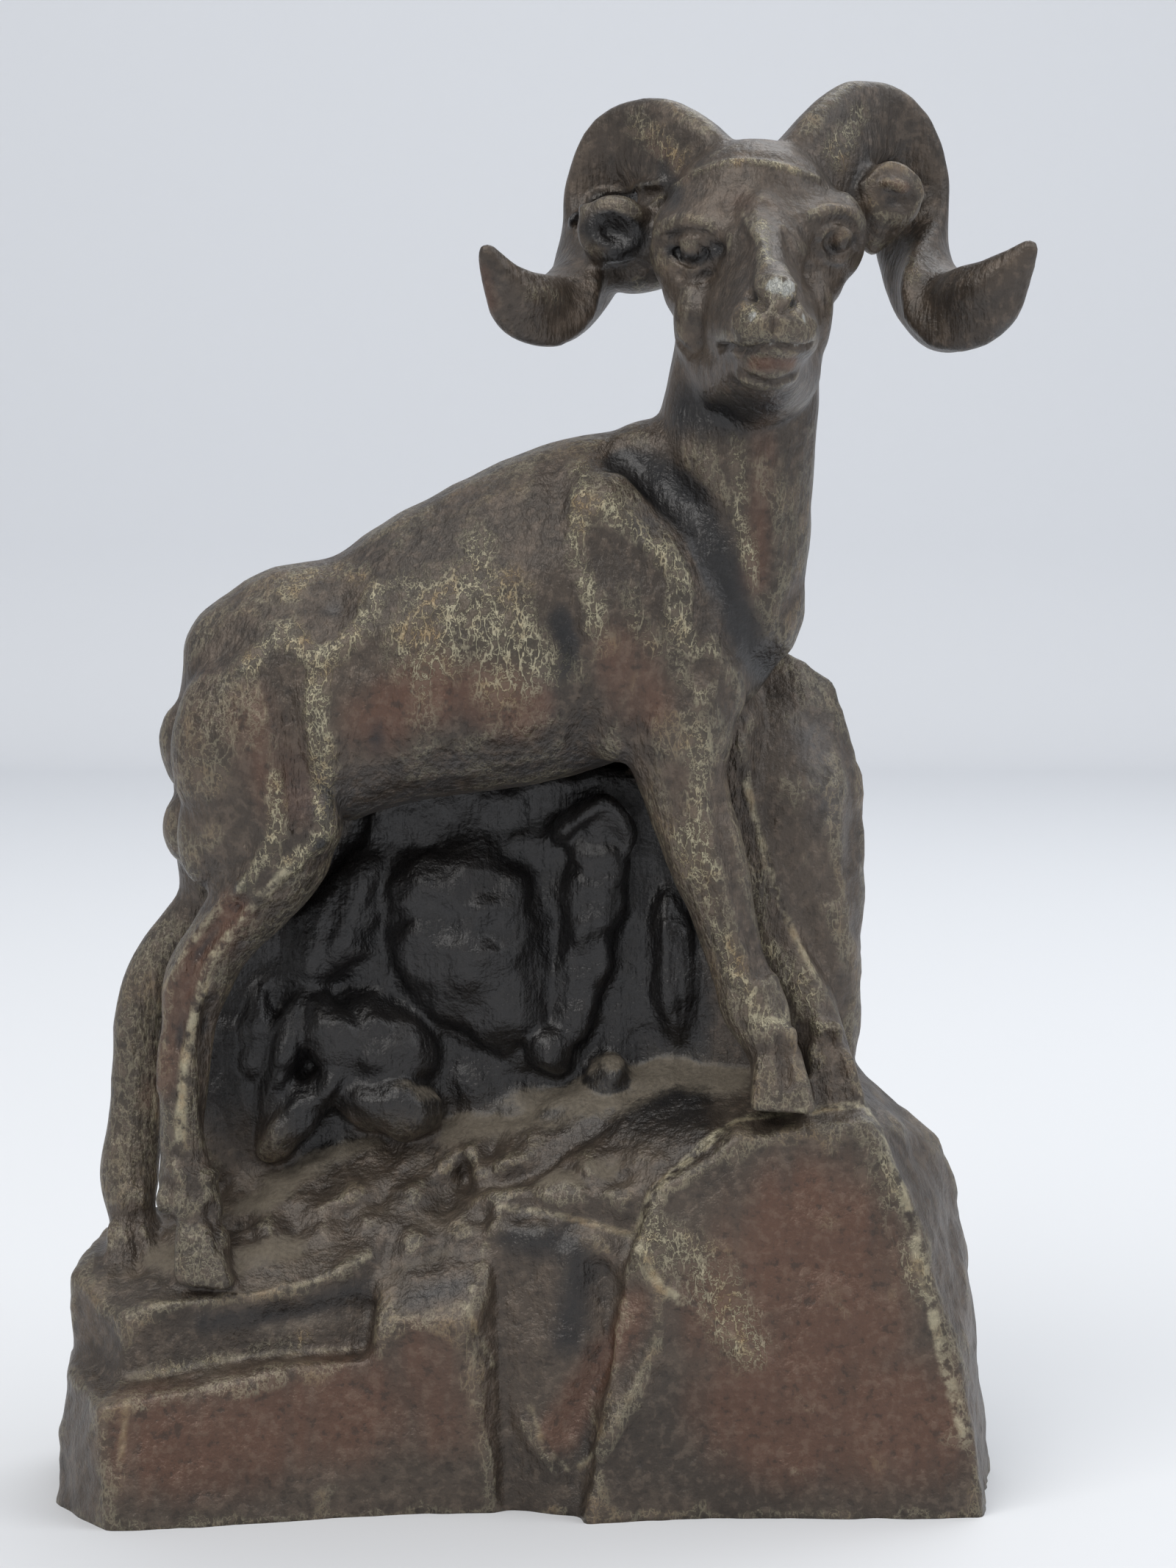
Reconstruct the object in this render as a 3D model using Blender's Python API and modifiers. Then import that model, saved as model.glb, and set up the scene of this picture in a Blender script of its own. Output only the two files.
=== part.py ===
"""A bighorn sheep coin bank: a hollow metal casting of a ram on a rock, with a coin slot in the back
of the rock, a cover set into the open foot, and a round stopper pushed into the cover.

Run with: blender --background --python part.py
X runs along the ram towards its chest, -Y is the side that shows, +Z is up. Sizes in this file are
millimetres, and MM turns them into Blender's metres.
"""

import bmesh
import bpy
import numpy as np
from mathutils import Matrix, Vector
from mathutils.bvhtree import BVHTree

MM = 0.001

# Whole casting. Its forms are drawn at 109.6 x 53.7 x 160.5 and stretched to these sizes.
LENGTH = 109.6
DEPTH = 53.7
HEIGHT = 160.5
GROW = np.array((LENGTH / 109.6, DEPTH / 53.7, HEIGHT / 160.5))

# Casting
WALL = 3.2  # metal round the hollow
MIDDLE_Y = -3.0  # the ram's own middle plane
EYE = (4.7, -400.0, 110.6)  # the place that the carved lines are drawn from
OTHER_EYE = (4.7, 400.0, 110.6)  # the same place behind the ram
CENTRE_X = 0.71  # where the ram's frame stands, so that the whole is centred over the origin
CENTRE_Y = 5.15
LOFT_STEPS = 4  # rings for each span between two rows of a loft
KEEL_SHARP = 6  # how narrow the edge along a horn is
SLAB_FACE = 0.62  # a recess rock's front face against its outline
SLAB_BEVEL = 0.6
ROCK_LOW = -2.0  # the rocks reach this far under the foot before it is cut flat
GRAIN = 0.8  # voxel of the blended masses
RAM_ROUNDS = 4  # smoothing of the blended ram
ROCK_ROUNDS = 2
CAST_FACES = 9800  # triangles of the casting before it is hollowed
HOLLOW_GRAIN = 1.6
HOLLOW_FACES = 900
HEAD_CARE = 0.02  # how much more finely the head and horns are kept than the rest
HEAD_LOW = 118.0  # that care starts here
HEAD_FADE = 12.0  # and is full this far above

# Coin slot
SLOT_LENGTH = 33.0
SLOT_WIDTH = 4.6
SLOT_X = 2.0
SLOT_Z = 62.0
SLOT_FACE_Y = 15.5  # flat of the rock that the slot is cut in
SLOT_REACH = 12.0  # depth of the cut, centred on that face
FLOOR_CUT = 8.0  # thickness of what is cut away to leave a flat foot

# Foot, cover and stopper
RIM = 3.0  # width of the rim that the bank stands on
SEAT = 1.8  # width of the step that the cover lies on
COVER_RECESS = 1.4
COVER_THICK = 1.6
COVER_GAP = 0.3
LEDGE_THICK = 2.0  # metal over the step, below the hollow
HOLE_X = 24.0
HOLE_Y = 1.0
HOLE_RADIUS = 12.5
STOPPER_GAP = 0.3
FLANGE_WIDTH = 1.6
FLANGE_THICK = 0.8
BEAD_WIDTH = 0.6
STOPPER_DEPTH = 5.0
STOPPER_WALL = 1.5

BRONZE = (0.105, 0.070, 0.048, 1.0)
PLATE = (0.16, 0.14, 0.12, 1.0)
RUBBER = (0.03, 0.03, 0.03, 1.0)

# The foot's outline, from the front left corner and round to the right
FOOT = [
    (-54.5, -12.0), (-48.0, -22.0), (-36.8, -19.5), (-25.0, -16.5), (-8.0, -15.0), (-1.0, -13.0),
    (4.2, -19.5), (13.4, -17.5), (46.7, -18.0), (50.5, -6.0), (51.5, 6.0), (44.0, 18.0),
    (12.0, 21.0), (-18.0, 19.5), (-47.0, 21.5), (-54.5, 10.0),
]


def seat_top():
    """Height of the step in the foot that the cover lies under."""
    return COVER_RECESS + COVER_THICK + COVER_GAP


def smooth_rows(rows, steps):
    """Rows of numbers that a Catmull-Rom curve passes through, with steps rows for each span."""
    rows = np.array(rows, float)
    padded = np.vstack([2 * rows[0] - rows[1], rows, 2 * rows[-1] - rows[-2]])
    found = []
    for i in range(len(rows) - 1):
        a, b, c, d = padded[i:i + 4]
        for t in np.arange(steps) / steps:
            cubic = (3 * b - a - 3 * c + d) * t**3
            square = (2 * a - 5 * b + 4 * c - d) * t**2
            found.append(0.5 * (2 * b + (c - a) * t + square + cubic))
    found.append(rows[-1])
    return np.array(found)


def unit(vectors):
    length = np.linalg.norm(vectors, axis=-1, keepdims=True)
    return vectors / np.maximum(length, 1e-9)


def add_loft(clay, rows, up=(0, 0, 1), sides=20, narrow=0.0, keel=0.0):
    """A closed loft. A row is x, y, z, half width and half height of a ring across the path.

    The half height is measured along up. narrow pinches a ring's top. keel raises an edge along the
    loft, at an angle in degrees that a row's sixth number gives.
    """
    path = smooth_rows(rows, LOFT_STEPS)
    centres = path[:, :3]
    sizes = np.maximum(path[:, 3:5], 0.2)
    along = unit(np.gradient(centres, axis=0))
    aside = unit(np.cross(along, np.array(up, float)))
    above = np.cross(aside, along)
    turns = np.linspace(0, 2 * np.pi, sides, endpoint=False)
    rings = []

    def add_ring(at, share, push):
        edge = 1
        if keel:
            edge = 1 + keel * np.maximum(0, np.cos(turns - np.radians(path[at, 5]))) ** KEEL_SHARP
        height = np.sin(turns) * edge
        across = np.cos(turns) * edge * (1 - narrow * height)
        centre = centres[at] + along[at] * push
        ring = (centre + aside[at] * (across * sizes[at, 0] * share)[:, None]
                + above[at] * (height * sizes[at, 1] * share)[:, None])
        rings.append([clay.verts.new(place) for place in ring * GROW])

    last = len(path) - 1
    for angle in (75, 50, 25):
        turn = np.radians(angle)
        add_ring(0, np.cos(turn), -np.sin(turn) * sizes[0].min())
    for at in range(len(path)):
        add_ring(at, 1, 0)
    for angle in (25, 50, 75):
        turn = np.radians(angle)
        add_ring(last, np.cos(turn), np.sin(turn) * sizes[last].min())
    made = []
    for ring, following in zip(rings, rings[1:]):
        for i in range(sides):
            j = (i + 1) % sides
            made.append(clay.faces.new((ring[i], ring[j], following[j], following[i])))
    made.append(clay.faces.new(rings[0][::-1]))
    made.append(clay.faces.new(rings[-1]))
    bmesh.ops.recalc_face_normals(clay, faces=made)


def add_tube(clay, rows, sides=10):
    """A round loft, with a radius as each row's fourth number."""
    add_loft(clay, [(x, y, z, radius, radius) for x, y, z, radius in rows], up=(0.2, 0.1, 1), sides=sides)


def add_ball(clay, centre, radii, lean=0.0, turn=0.0):
    """An ellipsoid, leant about Y and then turned about Z by degrees."""
    place = (
        Matrix.Diagonal((*GROW, 1))
        @ Matrix.Translation(centre)
        @ Matrix.Rotation(np.radians(turn), 4, "Z")
        @ Matrix.Rotation(np.radians(lean), 4, "Y")
        @ Matrix.Diagonal((*radii, 1))
    )
    bmesh.ops.create_uvsphere(clay, u_segments=24, v_segments=16, radius=1, matrix=place)


def add_block(clay, points, shrink=0.0):
    """A block of rock: the convex hull of its corners, each face moved in by shrink."""
    verts = [clay.verts.new(corner) for corner in np.array(points) * GROW]
    hull = bmesh.ops.convex_hull(clay, input=verts)
    spare = [v for v in hull["geom_interior"] if isinstance(v, bmesh.types.BMVert)]
    bmesh.ops.delete(clay, geom=spare, context="VERTS")
    if not shrink:
        return
    faces = [item for item in hull["geom"] if isinstance(item, bmesh.types.BMFace)]
    planes = [(face.calc_center_median(), face.normal.copy()) for face in faces]
    corners = {vert for face in faces for vert in face.verts}
    middle = sum((vert.co for vert in corners), Vector()) / len(corners)
    bmesh.ops.delete(clay, geom=list(corners), context="VERTS")
    core = bmesh.new()
    bmesh.ops.create_cube(core, size=2 * HEIGHT, matrix=Matrix.Translation(middle))
    for place, normal in planes:
        outward = normal if normal.dot(place - middle) > 0 else -normal
        everything = core.verts[:] + core.edges[:] + core.faces[:]
        sliced = bmesh.ops.bisect_plane(
            core, geom=everything, plane_co=place - outward * shrink, plane_no=outward, clear_outer=True
        )
        rim = [item for item in sliced["geom_cut"] if isinstance(item, bmesh.types.BMEdge)]
        if rim:
            bmesh.ops.holes_fill(core, edges=rim)
    bmesh.ops.recalc_face_normals(core, faces=core.faces[:])
    spare_mesh = bpy.data.meshes.new("core")
    core.to_mesh(spare_mesh)
    core.free()
    clay.from_mesh(spare_mesh)
    bpy.data.meshes.remove(spare_mesh)


def add_slab(clay, outline, front, back):
    """A rock with an outline in x and z at its waist, a smaller front face and a flat back."""
    points = np.array(outline, float)
    middle = points.mean(0)
    waist = (front + back) / 2 - SLAB_BEVEL
    corners = [(x, y, z) for x, z in points for y in (back, waist)]
    corners += [(x, front, z) for x, z in middle + (points - middle) * SLAB_FACE]
    add_block(clay, corners)


def add_torso(clay, shrink=0.0):
    torso = np.array([
        (-39.2, MIDDLE_Y, 84.5, 4.8, 6.6), (-35.4, MIDDLE_Y, 86.4, 9.2, 11.8),
        (-28.6, MIDDLE_Y, 90.5, 11.4, 15.0), (-20.0, MIDDLE_Y, 92.8, 12.0, 14.7),
        (-12.0, MIDDLE_Y, 95.7, 12.8, 16.6), (-3.6, MIDDLE_Y, 98.6, 13.2, 17.9),
        (4.7, MIDDLE_Y, 101.8, 12.8, 18.4), (11.0, MIDDLE_Y, 103.1, 12.0, 17.7),
        (17.5, MIDDLE_Y, 102.2, 10.4, 14.0), (22.0, MIDDLE_Y, 100.6, 7.0, 8.5),
    ])
    if shrink:
        torso = torso[1:-1]
    torso[:, 3:] -= shrink
    add_loft(clay, torso, narrow=0.16)


def add_haunches(clay):
    for side in (-1, 1):
        y = MIDDLE_Y + side * 5.8
        add_ball(clay, (-33.0, y, 86.2), (9.2, 6.4, 12.0), lean=12)
        add_ball(clay, (-27.4, y - side * 0.2, 94.6), (6.0, 5.0, 6.0))
        add_ball(clay, (-32.6, y + side * 0.5, 78.5), (7.6, 4.6, 9.0), lean=10)
        add_ball(clay, (-37.6, y - side * 1.2, 76.4), (4.2, 4.0, 7.0), lean=6)
        add_ball(clay, (-27.2, y + side * 1.6, 77.5), (4.2, 3.6, 5.0), lean=-20)
    add_ball(clay, (-40.6, MIDDLE_Y + 2.0, 76.0), (3.6, 4.0, 4.6), lean=6)


def add_shoulders(clay):
    for side in (-1, 1):
        y = MIDDLE_Y + side * 6.6
        add_ball(clay, (10.0, y, 98.0), (9.4, 5.8, 14.5), lean=14)
        add_ball(clay, (14.6, y, 88.5), (6.4, 5.0, 9.5), lean=4)
        add_ball(clay, (5.6, y + side * 0.6, 108.4), (6.4, 4.4, 9.0), lean=30)
        add_ball(clay, (17.6, y - side * 1.0, 96.0), (4.8, 4.6, 9.0), lean=-10)
    add_ball(clay, (11.5, MIDDLE_Y, 116.2), (7.5, 6.5, 6.0), lean=-20)


def add_neck(clay):
    neck = [
        (15.5, MIDDLE_Y, 99.0, 11.0, 11.5), (18.8, MIDDLE_Y, 108.0, 10.0, 10.8),
        (20.6, MIDDLE_Y - 0.6, 116.5, 9.2, 9.4), (21.7, MIDDLE_Y - 1.2, 124.0, 8.8, 8.8),
        (22.4, MIDDLE_Y - 1.6, 131.0, 8.6, 8.2), (22.6, MIDDLE_Y - 1.0, 138.5, 8.0, 8.6),
    ]
    add_loft(clay, neck, up=(1, 0, 0))


def add_head(clay):
    skull = [
        (22.6, 3.0, 143.5, 6.0, 6.0), (22.7, -2.5, 144.3, 10.0, 8.6), (22.9, -7.5, 143.4, 10.2, 8.6),
        (23.2, -12.0, 141.0, 9.4, 7.6),
    ]
    add_loft(clay, skull, sides=24, narrow=0.05)
    muzzle = [
        (22.9, -9.0, 135.5, 8.2, 9.0), (23.3, -15.0, 133.8, 6.3, 8.2), (23.7, -20.5, 132.6, 5.7, 6.8),
        (23.9, -25.0, 131.6, 5.3, 5.6), (24.1, -27.6, 131.4, 4.6, 4.6),
    ]
    add_loft(clay, muzzle, sides=24, narrow=0.5)
    bridge = [
        (23.2, -9.0, 147.0, 5.0, 3.0), (23.5, -14.6, 143.6, 2.6, 2.6), (23.7, -20.0, 140.2, 2.1, 2.2),
        (23.9, -26.0, 136.9, 2.2, 2.0), (24.0, -28.6, 135.6, 2.5, 1.8),
    ]
    add_loft(clay, bridge, sides=16)
    jaw = [
        (23.6, -25.0, 127.9, 3.8, 2.4), (23.4, -21.0, 127.0, 5.2, 3.6), (23.2, -16.0, 126.4, 6.8, 5.0),
        (23.0, -11.5, 127.0, 8.0, 6.3), (22.6, -6.0, 129.5, 8.4, 7.0),
    ]
    add_loft(clay, jaw, sides=20)
    add_ball(clay, (22.7, -4.5, 147.0), (8.4, 8.5, 6.4))
    for side, rise in ((-1, 0.0), (1, 1.2)):
        x = 23.3 + side * 9.6
        add_ball(clay, (x - 0.2, -7.4, 141.8 + rise), (2.6, 4.4, 4.8), turn=side * -20)
        add_ball(clay, (22.2 + side * 6.4, -7.4, 133.4 + rise), (3.0, 5.6, 7.0), turn=side * 10)
        brow = [
            (23.6 + side * 11.0, -8.6, 143.4 + rise, 1.4, 1.3),
            (23.4 + side * 8.4, -12.0, 144.1 + rise, 1.8, 1.5),
            (23.4 + side * 5.2, -14.2, 143.4 + rise, 1.7, 1.5),
            (23.5 + side * 3.2, -15.4, 141.8 + rise, 1.2, 1.2),
        ]
        add_loft(clay, brow, sides=12)
        add_ball(clay, (24.2 + side * 2.7, -27.9, 131.8 - side * 0.3), (2.3, 2.4, 2.0))
    add_ball(clay, (24.1, -28.6, 134.8), (2.9, 2.5, 1.9))
    add_ball(clay, (24.1, -27.2, 130.1), (3.8, 2.4, 1.4))
    add_ball(clay, (23.7, -26.8, 127.6), (3.3, 2.6, 1.5))
    add_ball(clay, (23.6, -24.4, 126.5), (3.8, 3.2, 2.1))


def add_ears(clay):
    add_ball(clay, (7.3, -1.2, 143.6), (4.3, 3.0, 4.0), lean=-10, turn=-18)
    add_ball(clay, (12.0, 0.2, 142.8), (4.0, 3.0, 3.4))
    add_ball(clay, (11.0, 3.6, 139.8), (5.5, 4.0, 3.0), lean=-10)
    add_ball(clay, (38.6, -0.4, 147.4), (3.9, 2.8, 4.0), lean=16, turn=20)
    hanging = [(38.2, 0.0, 147.0, 3.4, 2.4), (37.4, 0.4, 143.8, 2.6, 2.0), (36.7, 0.6, 141.6, 1.0, 1.0)]
    add_loft(clay, hanging, up=(0, -1, 0), sides=16)
    add_ball(clay, (34.4, 1.5, 146.4), (3.6, 3.6, 4.6))
    add_ball(clay, (13.4, 2.0, 146.6), (3.4, 3.0, 4.4))


def add_eyes(clay):
    add_ball(clay, (16.1, -11.3, 140.5), (1.9, 1.9, 1.75))
    add_ball(clay, (31.9, -10.4, 141.6), (1.9, 1.9, 1.75))


# Horns: x, y, z, half width, half height and the angle of the edge that runs along it
LEFT_HORN = [
    (20.1, -1.0, 147.0, 5.2, 5.2, 70), (16.6, 1.5, 150.6, 5.2, 4.9, 66), (12.6, 6.0, 153.0, 4.9, 4.6, 58),
    (8.8, 10.0, 152.2, 4.7, 4.5, 50), (6.4, 12.0, 147.8, 4.5, 4.4, 50), (5.1, 10.5, 142.4, 4.2, 4.1, 60),
    (3.6, 5.5, 137.6, 3.8, 4.0, 90), (0.6, -1.0, 134.2, 3.9, 4.2, 130), (-2.6, -6.6, 134.8, 3.5, 3.6, 165),
    (-5.0, -10.0, 137.2, 2.3, 2.5, 180), (-6.4, -12.0, 139.6, 1.4, 1.4, 180),
]
RIGHT_HORN = [
    (27.6, -1.0, 147.2, 5.2, 5.2, 110), (31.0, 1.5, 151.8, 5.2, 4.9, 114), (34.8, 6.0, 154.8, 4.9, 4.8, 122),
    (39.0, 10.0, 154.0, 4.6, 4.6, 130), (41.6, 12.0, 149.2, 4.5, 4.4, 130), (42.3, 10.5, 142.6, 4.2, 4.2, 120),
    (43.2, 5.5, 137.4, 4.2, 4.4, 90), (45.4, -1.5, 134.0, 4.5, 4.6, 50), (48.6, -7.0, 135.6, 3.8, 3.7, 15),
    (51.2, -10.2, 138.2, 2.4, 2.5, 0), (53.0, -12.0, 140.2, 1.4, 1.4, 0),
]


def add_horns(clay):
    for horn in (LEFT_HORN, RIGHT_HORN):
        add_loft(clay, horn, up=(0, -1, 0.2), sides=32, keel=0.34)


# Legs: x, y, z and radius from the body down to the hoof
NEAR_HIND = [
    (-31.5, -8.6, 81.0, 6.6), (-29.4, -9.2, 75.0, 5.8), (-32.4, -8.8, 69.4, 4.9),
    (-36.6, -8.0, 64.0, 3.9), (-39.6, -7.4, 59.0, 3.9), (-40.6, -7.6, 54.0, 3.1),
    (-41.2, -8.2, 46.5, 2.8), (-41.0, -8.8, 39.5, 2.9), (-40.0, -9.4, 35.8, 3.6),
    (-38.6, -10.6, 32.2, 3.2), (-37.2, -11.8, 28.6, 3.8),
]
FAR_HIND = [
    (-36.6, 1.6, 82.0, 6.8), (-37.6, 2.4, 72.0, 5.6), (-39.6, 2.8, 66.0, 3.9),
    (-44.2, 2.8, 60.8, 3.4), (-47.2, 2.2, 54.6, 3.0), (-47.8, 1.2, 43.0, 3.1),
    (-48.4, 0.2, 36.0, 3.6), (-48.4, -1.0, 31.4, 3.3), (-46.6, -2.6, 27.0, 4.2),
]
NEAR_FORE = [
    (13.6, -8.6, 89.0, 6.4), (15.4, -8.8, 80.5, 4.9), (17.8, -9.4, 73.0, 4.5),
    (19.6, -9.2, 67.0, 3.7), (21.6, -9.4, 60.6, 3.3), (23.6, -10.0, 55.6, 4.2),
    (25.0, -11.4, 51.6, 3.8), (26.2, -12.6, 48.6, 4.4),
]
FAR_FORE = [
    (19.0, 2.0, 87.0, 6.0), (21.4, 1.6, 76.5, 4.4), (23.4, 1.0, 70.7, 4.2),
    (25.9, 0.0, 62.4, 3.4), (29.2, -1.6, 55.6, 4.0), (31.4, -3.4, 51.4, 3.7),
    (32.6, -4.6, 49.0, 4.2),
]


def add_legs(clay):
    for leg in (NEAR_HIND, FAR_HIND, NEAR_FORE, FAR_FORE):
        rows = [(x, y, z, radius, radius) for x, y, z, radius in leg]
        add_loft(clay, rows, up=(1, 0, 0), sides=16)


def add_foot_rocks(clay, shrink=0.0):
    """The rocks that the ram stands on, down to just below the foot, or the hollow in them."""
    low = ROCK_LOW
    left_step = [
        (-49.4, -21.0, 13.3), (-37.2, -19.4, 14.9), (-27.9, -16.8, 17.2), (-18.5, -15.6, 17.6),
        (-54.8, -9.0, 15.5), (-55.0, 9.0, 17.0), (-46.0, 20.0, 18.0), (-10.0, 18.0, 20.0),
        (-8.0, -10.0, 18.0), (-55.6, -12.0, low), (-48.2, -23.4, low), (-36.8, -20.2, low),
        (-25.0, -17.0, low), (-8.0, -15.0, low), (-6.0, 20.0, low), (-47.5, 22.0, low),
        (-55.6, 10.0, low),
    ]
    upper_ledge = [
        (-47.4, -15.0, 22.0), (-40.7, -14.6, 22.6), (-32.6, -13.8, 23.7), (-22.0, -12.0, 26.8),
        (-54.6, -6.0, 25.2), (-52.0, 3.0, 28.4), (-36.0, 2.0, 32.4), (-22.0, 3.0, 39.6),
        (-10.0, 4.0, 42.6), (-2.0, 4.0, 44.6), (-50.0, 14.0, 22.0), (-10.0, 15.0, 34.0),
        (-54.3, -8.0, 10.0), (-47.4, -16.0, 10.0), (-20.0, -13.0, 10.0), (-50.0, 17.0, 10.0),
        (0.0, 17.0, 10.0), (0.0, -8.0, 10.0),
    ]
    front_block = [
        (-19.2, -16.0, 20.6), (-8.9, -17.2, 22.8), (-6.4, -14.2, 27.8), (-8.0, -9.0, 33.4),
        (-19.8, -10.5, 27.8), (-6.0, -2.0, 36.0), (-18.0, -2.0, 33.0), (-19.6, -16.2, low),
        (-5.4, -15.6, low), (-4.0, 0.0, low), (-20.0, 0.0, low),
    ]
    dark_face = [
        (-6.8, -12.2, 32.6), (9.9, -14.6, 30.2), (10.0, -4.0, 40.0), (-6.0, -2.0, 40.0),
        (-5.0, -11.6, low), (4.0, -12.6, low), (10.0, -12.0, low), (10.0, 5.0, low),
        (-6.0, 5.0, low),
    ]
    right_block = [
        (21.3, -15.0, 42.5), (36.1, -13.2, 43.8), (11.7, -15.6, 36.1), (9.4, -16.6, 29.5),
        (13.3, -17.8, 23.9), (41.0, -14.2, 33.6), (44.6, -15.0, 19.4), (47.2, -16.0, 12.0),
        (35.4, 4.0, 47.8), (20.0, 2.0, 48.6), (45.6, 4.0, 39.0), (47.8, 4.0, 32.6),
        (49.8, 3.0, 16.0), (48.6, -18.0, low), (13.4, -18.2, low), (51.8, 4.0, low),
        (44.0, 19.0, low), (10.0, 21.0, low), (42.0, 14.0, 30.0), (14.0, 16.0, 36.0),
        (34.0, 11.0, 44.0), (16.0, 9.0, 46.0),
    ]
    front_wedge = [
        (9.0, -16.4, 29.4), (13.0, -17.8, 24.4), (3.8, -20.4, low), (14.0, -18.4, low),
        (2.0, -12.0, low), (8.0, -10.0, 24.0), (14.0, -8.0, low),
    ]
    mound = [
        (-8.0, -9.6, 33.4), (9.0, -14.0, 31.4), (12.4, -14.6, 36.6), (20.8, -13.6, 42.2),
        (20.0, 2.0, 49.0), (12.0, 3.0, 48.8), (0.0, 3.0, 46.0), (-10.0, 3.0, 42.6),
        (-6.0, -8.0, 20.0), (20.0, -8.0, 20.0), (20.0, 14.0, 38.0), (-10.0, 14.0, 34.0),
        (20.0, 16.0, 20.0), (-10.0, 16.0, 20.0),
    ]
    back_rock = [
        (-44.0, 16.0, 20.0), (-30.0, 18.5, 26.0), (-6.0, 18.0, 33.0), (20.0, 19.0, 30.0),
        (36.0, 16.0, 36.0), (-44.0, 21.0, low), (-18.0, 20.0, low), (12.0, 21.4, low),
        (42.0, 18.0, low), (-30.0, 8.0, 30.0), (30.0, 8.0, 42.0), (-40.0, 8.0, low),
        (40.0, 8.0, low),
    ]
    hollowed = (left_step, upper_ledge, right_block, mound)
    plain = (front_block, dark_face, front_wedge, back_rock)
    for block in hollowed + (() if shrink else plain):
        add_block(clay, block, shrink)


def add_wall_rocks(clay, shrink=0.0):
    """The rock that fills the space under the belly and stands behind the forelegs."""
    side_fill = [
        (-44.0, 1.0, 22.0), (-42.5, 0.5, 40.0), (-40.5, 1.0, 57.0), (-33.0, 2.0, 73.0),
        (-24.0, 2.4, 79.0), (-14.0, 3.0, 79.0), (-14.0, 3.0, 30.0), (-42.0, 8.0, 24.0),
        (-40.0, 8.0, 56.0), (-24.0, 11.0, 76.0), (-16.0, SLOT_FACE_Y, 60.0),
        (-20.0, SLOT_FACE_Y, 30.0),
    ]
    fill = [
        (-34.0, 3.0, 30.0), (-27.0, 2.4, 42.0), (-22.0, 2.6, 62.0), (-20.0, 1.0, 79.0),
        (-14.0, SLOT_FACE_Y, 80.0), (-28.0, SLOT_FACE_Y, 40.0), (-38.0, 9.0, 22.0),
        (20.0, 2.6, 82.0), (22.0, SLOT_FACE_Y, 82.0), (26.0, 2.0, 44.0), (28.0, SLOT_FACE_Y, 42.0),
        (-12.0, 8.0, 88.0), (20.0, 8.0, 90.0),
        (30.0, 15.0, 30.0), (-30.0, 16.0, 28.0), (-30.0, 3.0, 24.0), (28.0, 3.0, 24.0),
    ]
    boulder = [
        (20.0, 4.0, 97.0), (27.8, 4.4, 96.0), (32.8, 6.0, 92.0), (36.4, 6.0, 82.0),
        (36.9, 6.0, 68.0), (36.0, 4.0, 53.0), (35.6, 2.0, 46.0), (26.9, -2.8, 79.6),
        (33.2, -0.6, 80.4), (20.0, -0.6, 82.0), (24.0, -1.6, 48.0), (33.2, -0.4, 56.0),
        (18.0, SLOT_FACE_Y, 84.0), (30.0, SLOT_FACE_Y - 1.0, 84.0), (34.0, 11.0, 66.0),
        (35.0, 12.0, 46.0), (16.0, SLOT_FACE_Y, 42.0), (16.0, 1.0, 42.0), (27.0, 10.0, 94.0),
        (19.0, 10.0, 96.0),
    ]
    for block in (fill, boulder):
        add_block(clay, block, shrink)
    if shrink:
        passage = [
            (x, y, z) for x in (-8.0, 12.0)
            for y, z in ((5.8, 74.0), (9.4, 74.0), (5.8, 82.0), (9.4, 80.0), (0.0, 90.0),
                         (7.6, 86.0), (0.0, 96.0), (5.0, 96.0))
        ]
        add_block(clay, passage)
        return
    add_block(clay, side_fill)
    for outline, front, back in RECESS_ROCKS:
        add_slab(clay, outline, front, back)
    add_ball(clay, (6.4, -1.0, 46.4), (2.4, 2.4, 2.2))
    add_ball(clay, (-9.6, -4.6, 45.4), (2.6, 2.0, 1.9), lean=30)
    add_tube(clay, [(-13.0, -2.6, 51.6, 1.5), (-9.0, -4.0, 48.0, 1.6), (-5.0, -5.0, 44.6, 1.8)])
    add_tube(clay, [(-21.0, -6.0, 38.4, 1.2), (-14.0, -6.0, 41.0, 1.5), (-5.0, -5.6, 43.8, 1.8)])
    add_tube(clay, [(4.0, -3.0, 47.4, 1.2), (-1.0, -4.4, 45.4, 1.6), (-5.0, -5.6, 43.8, 1.8)])


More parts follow.
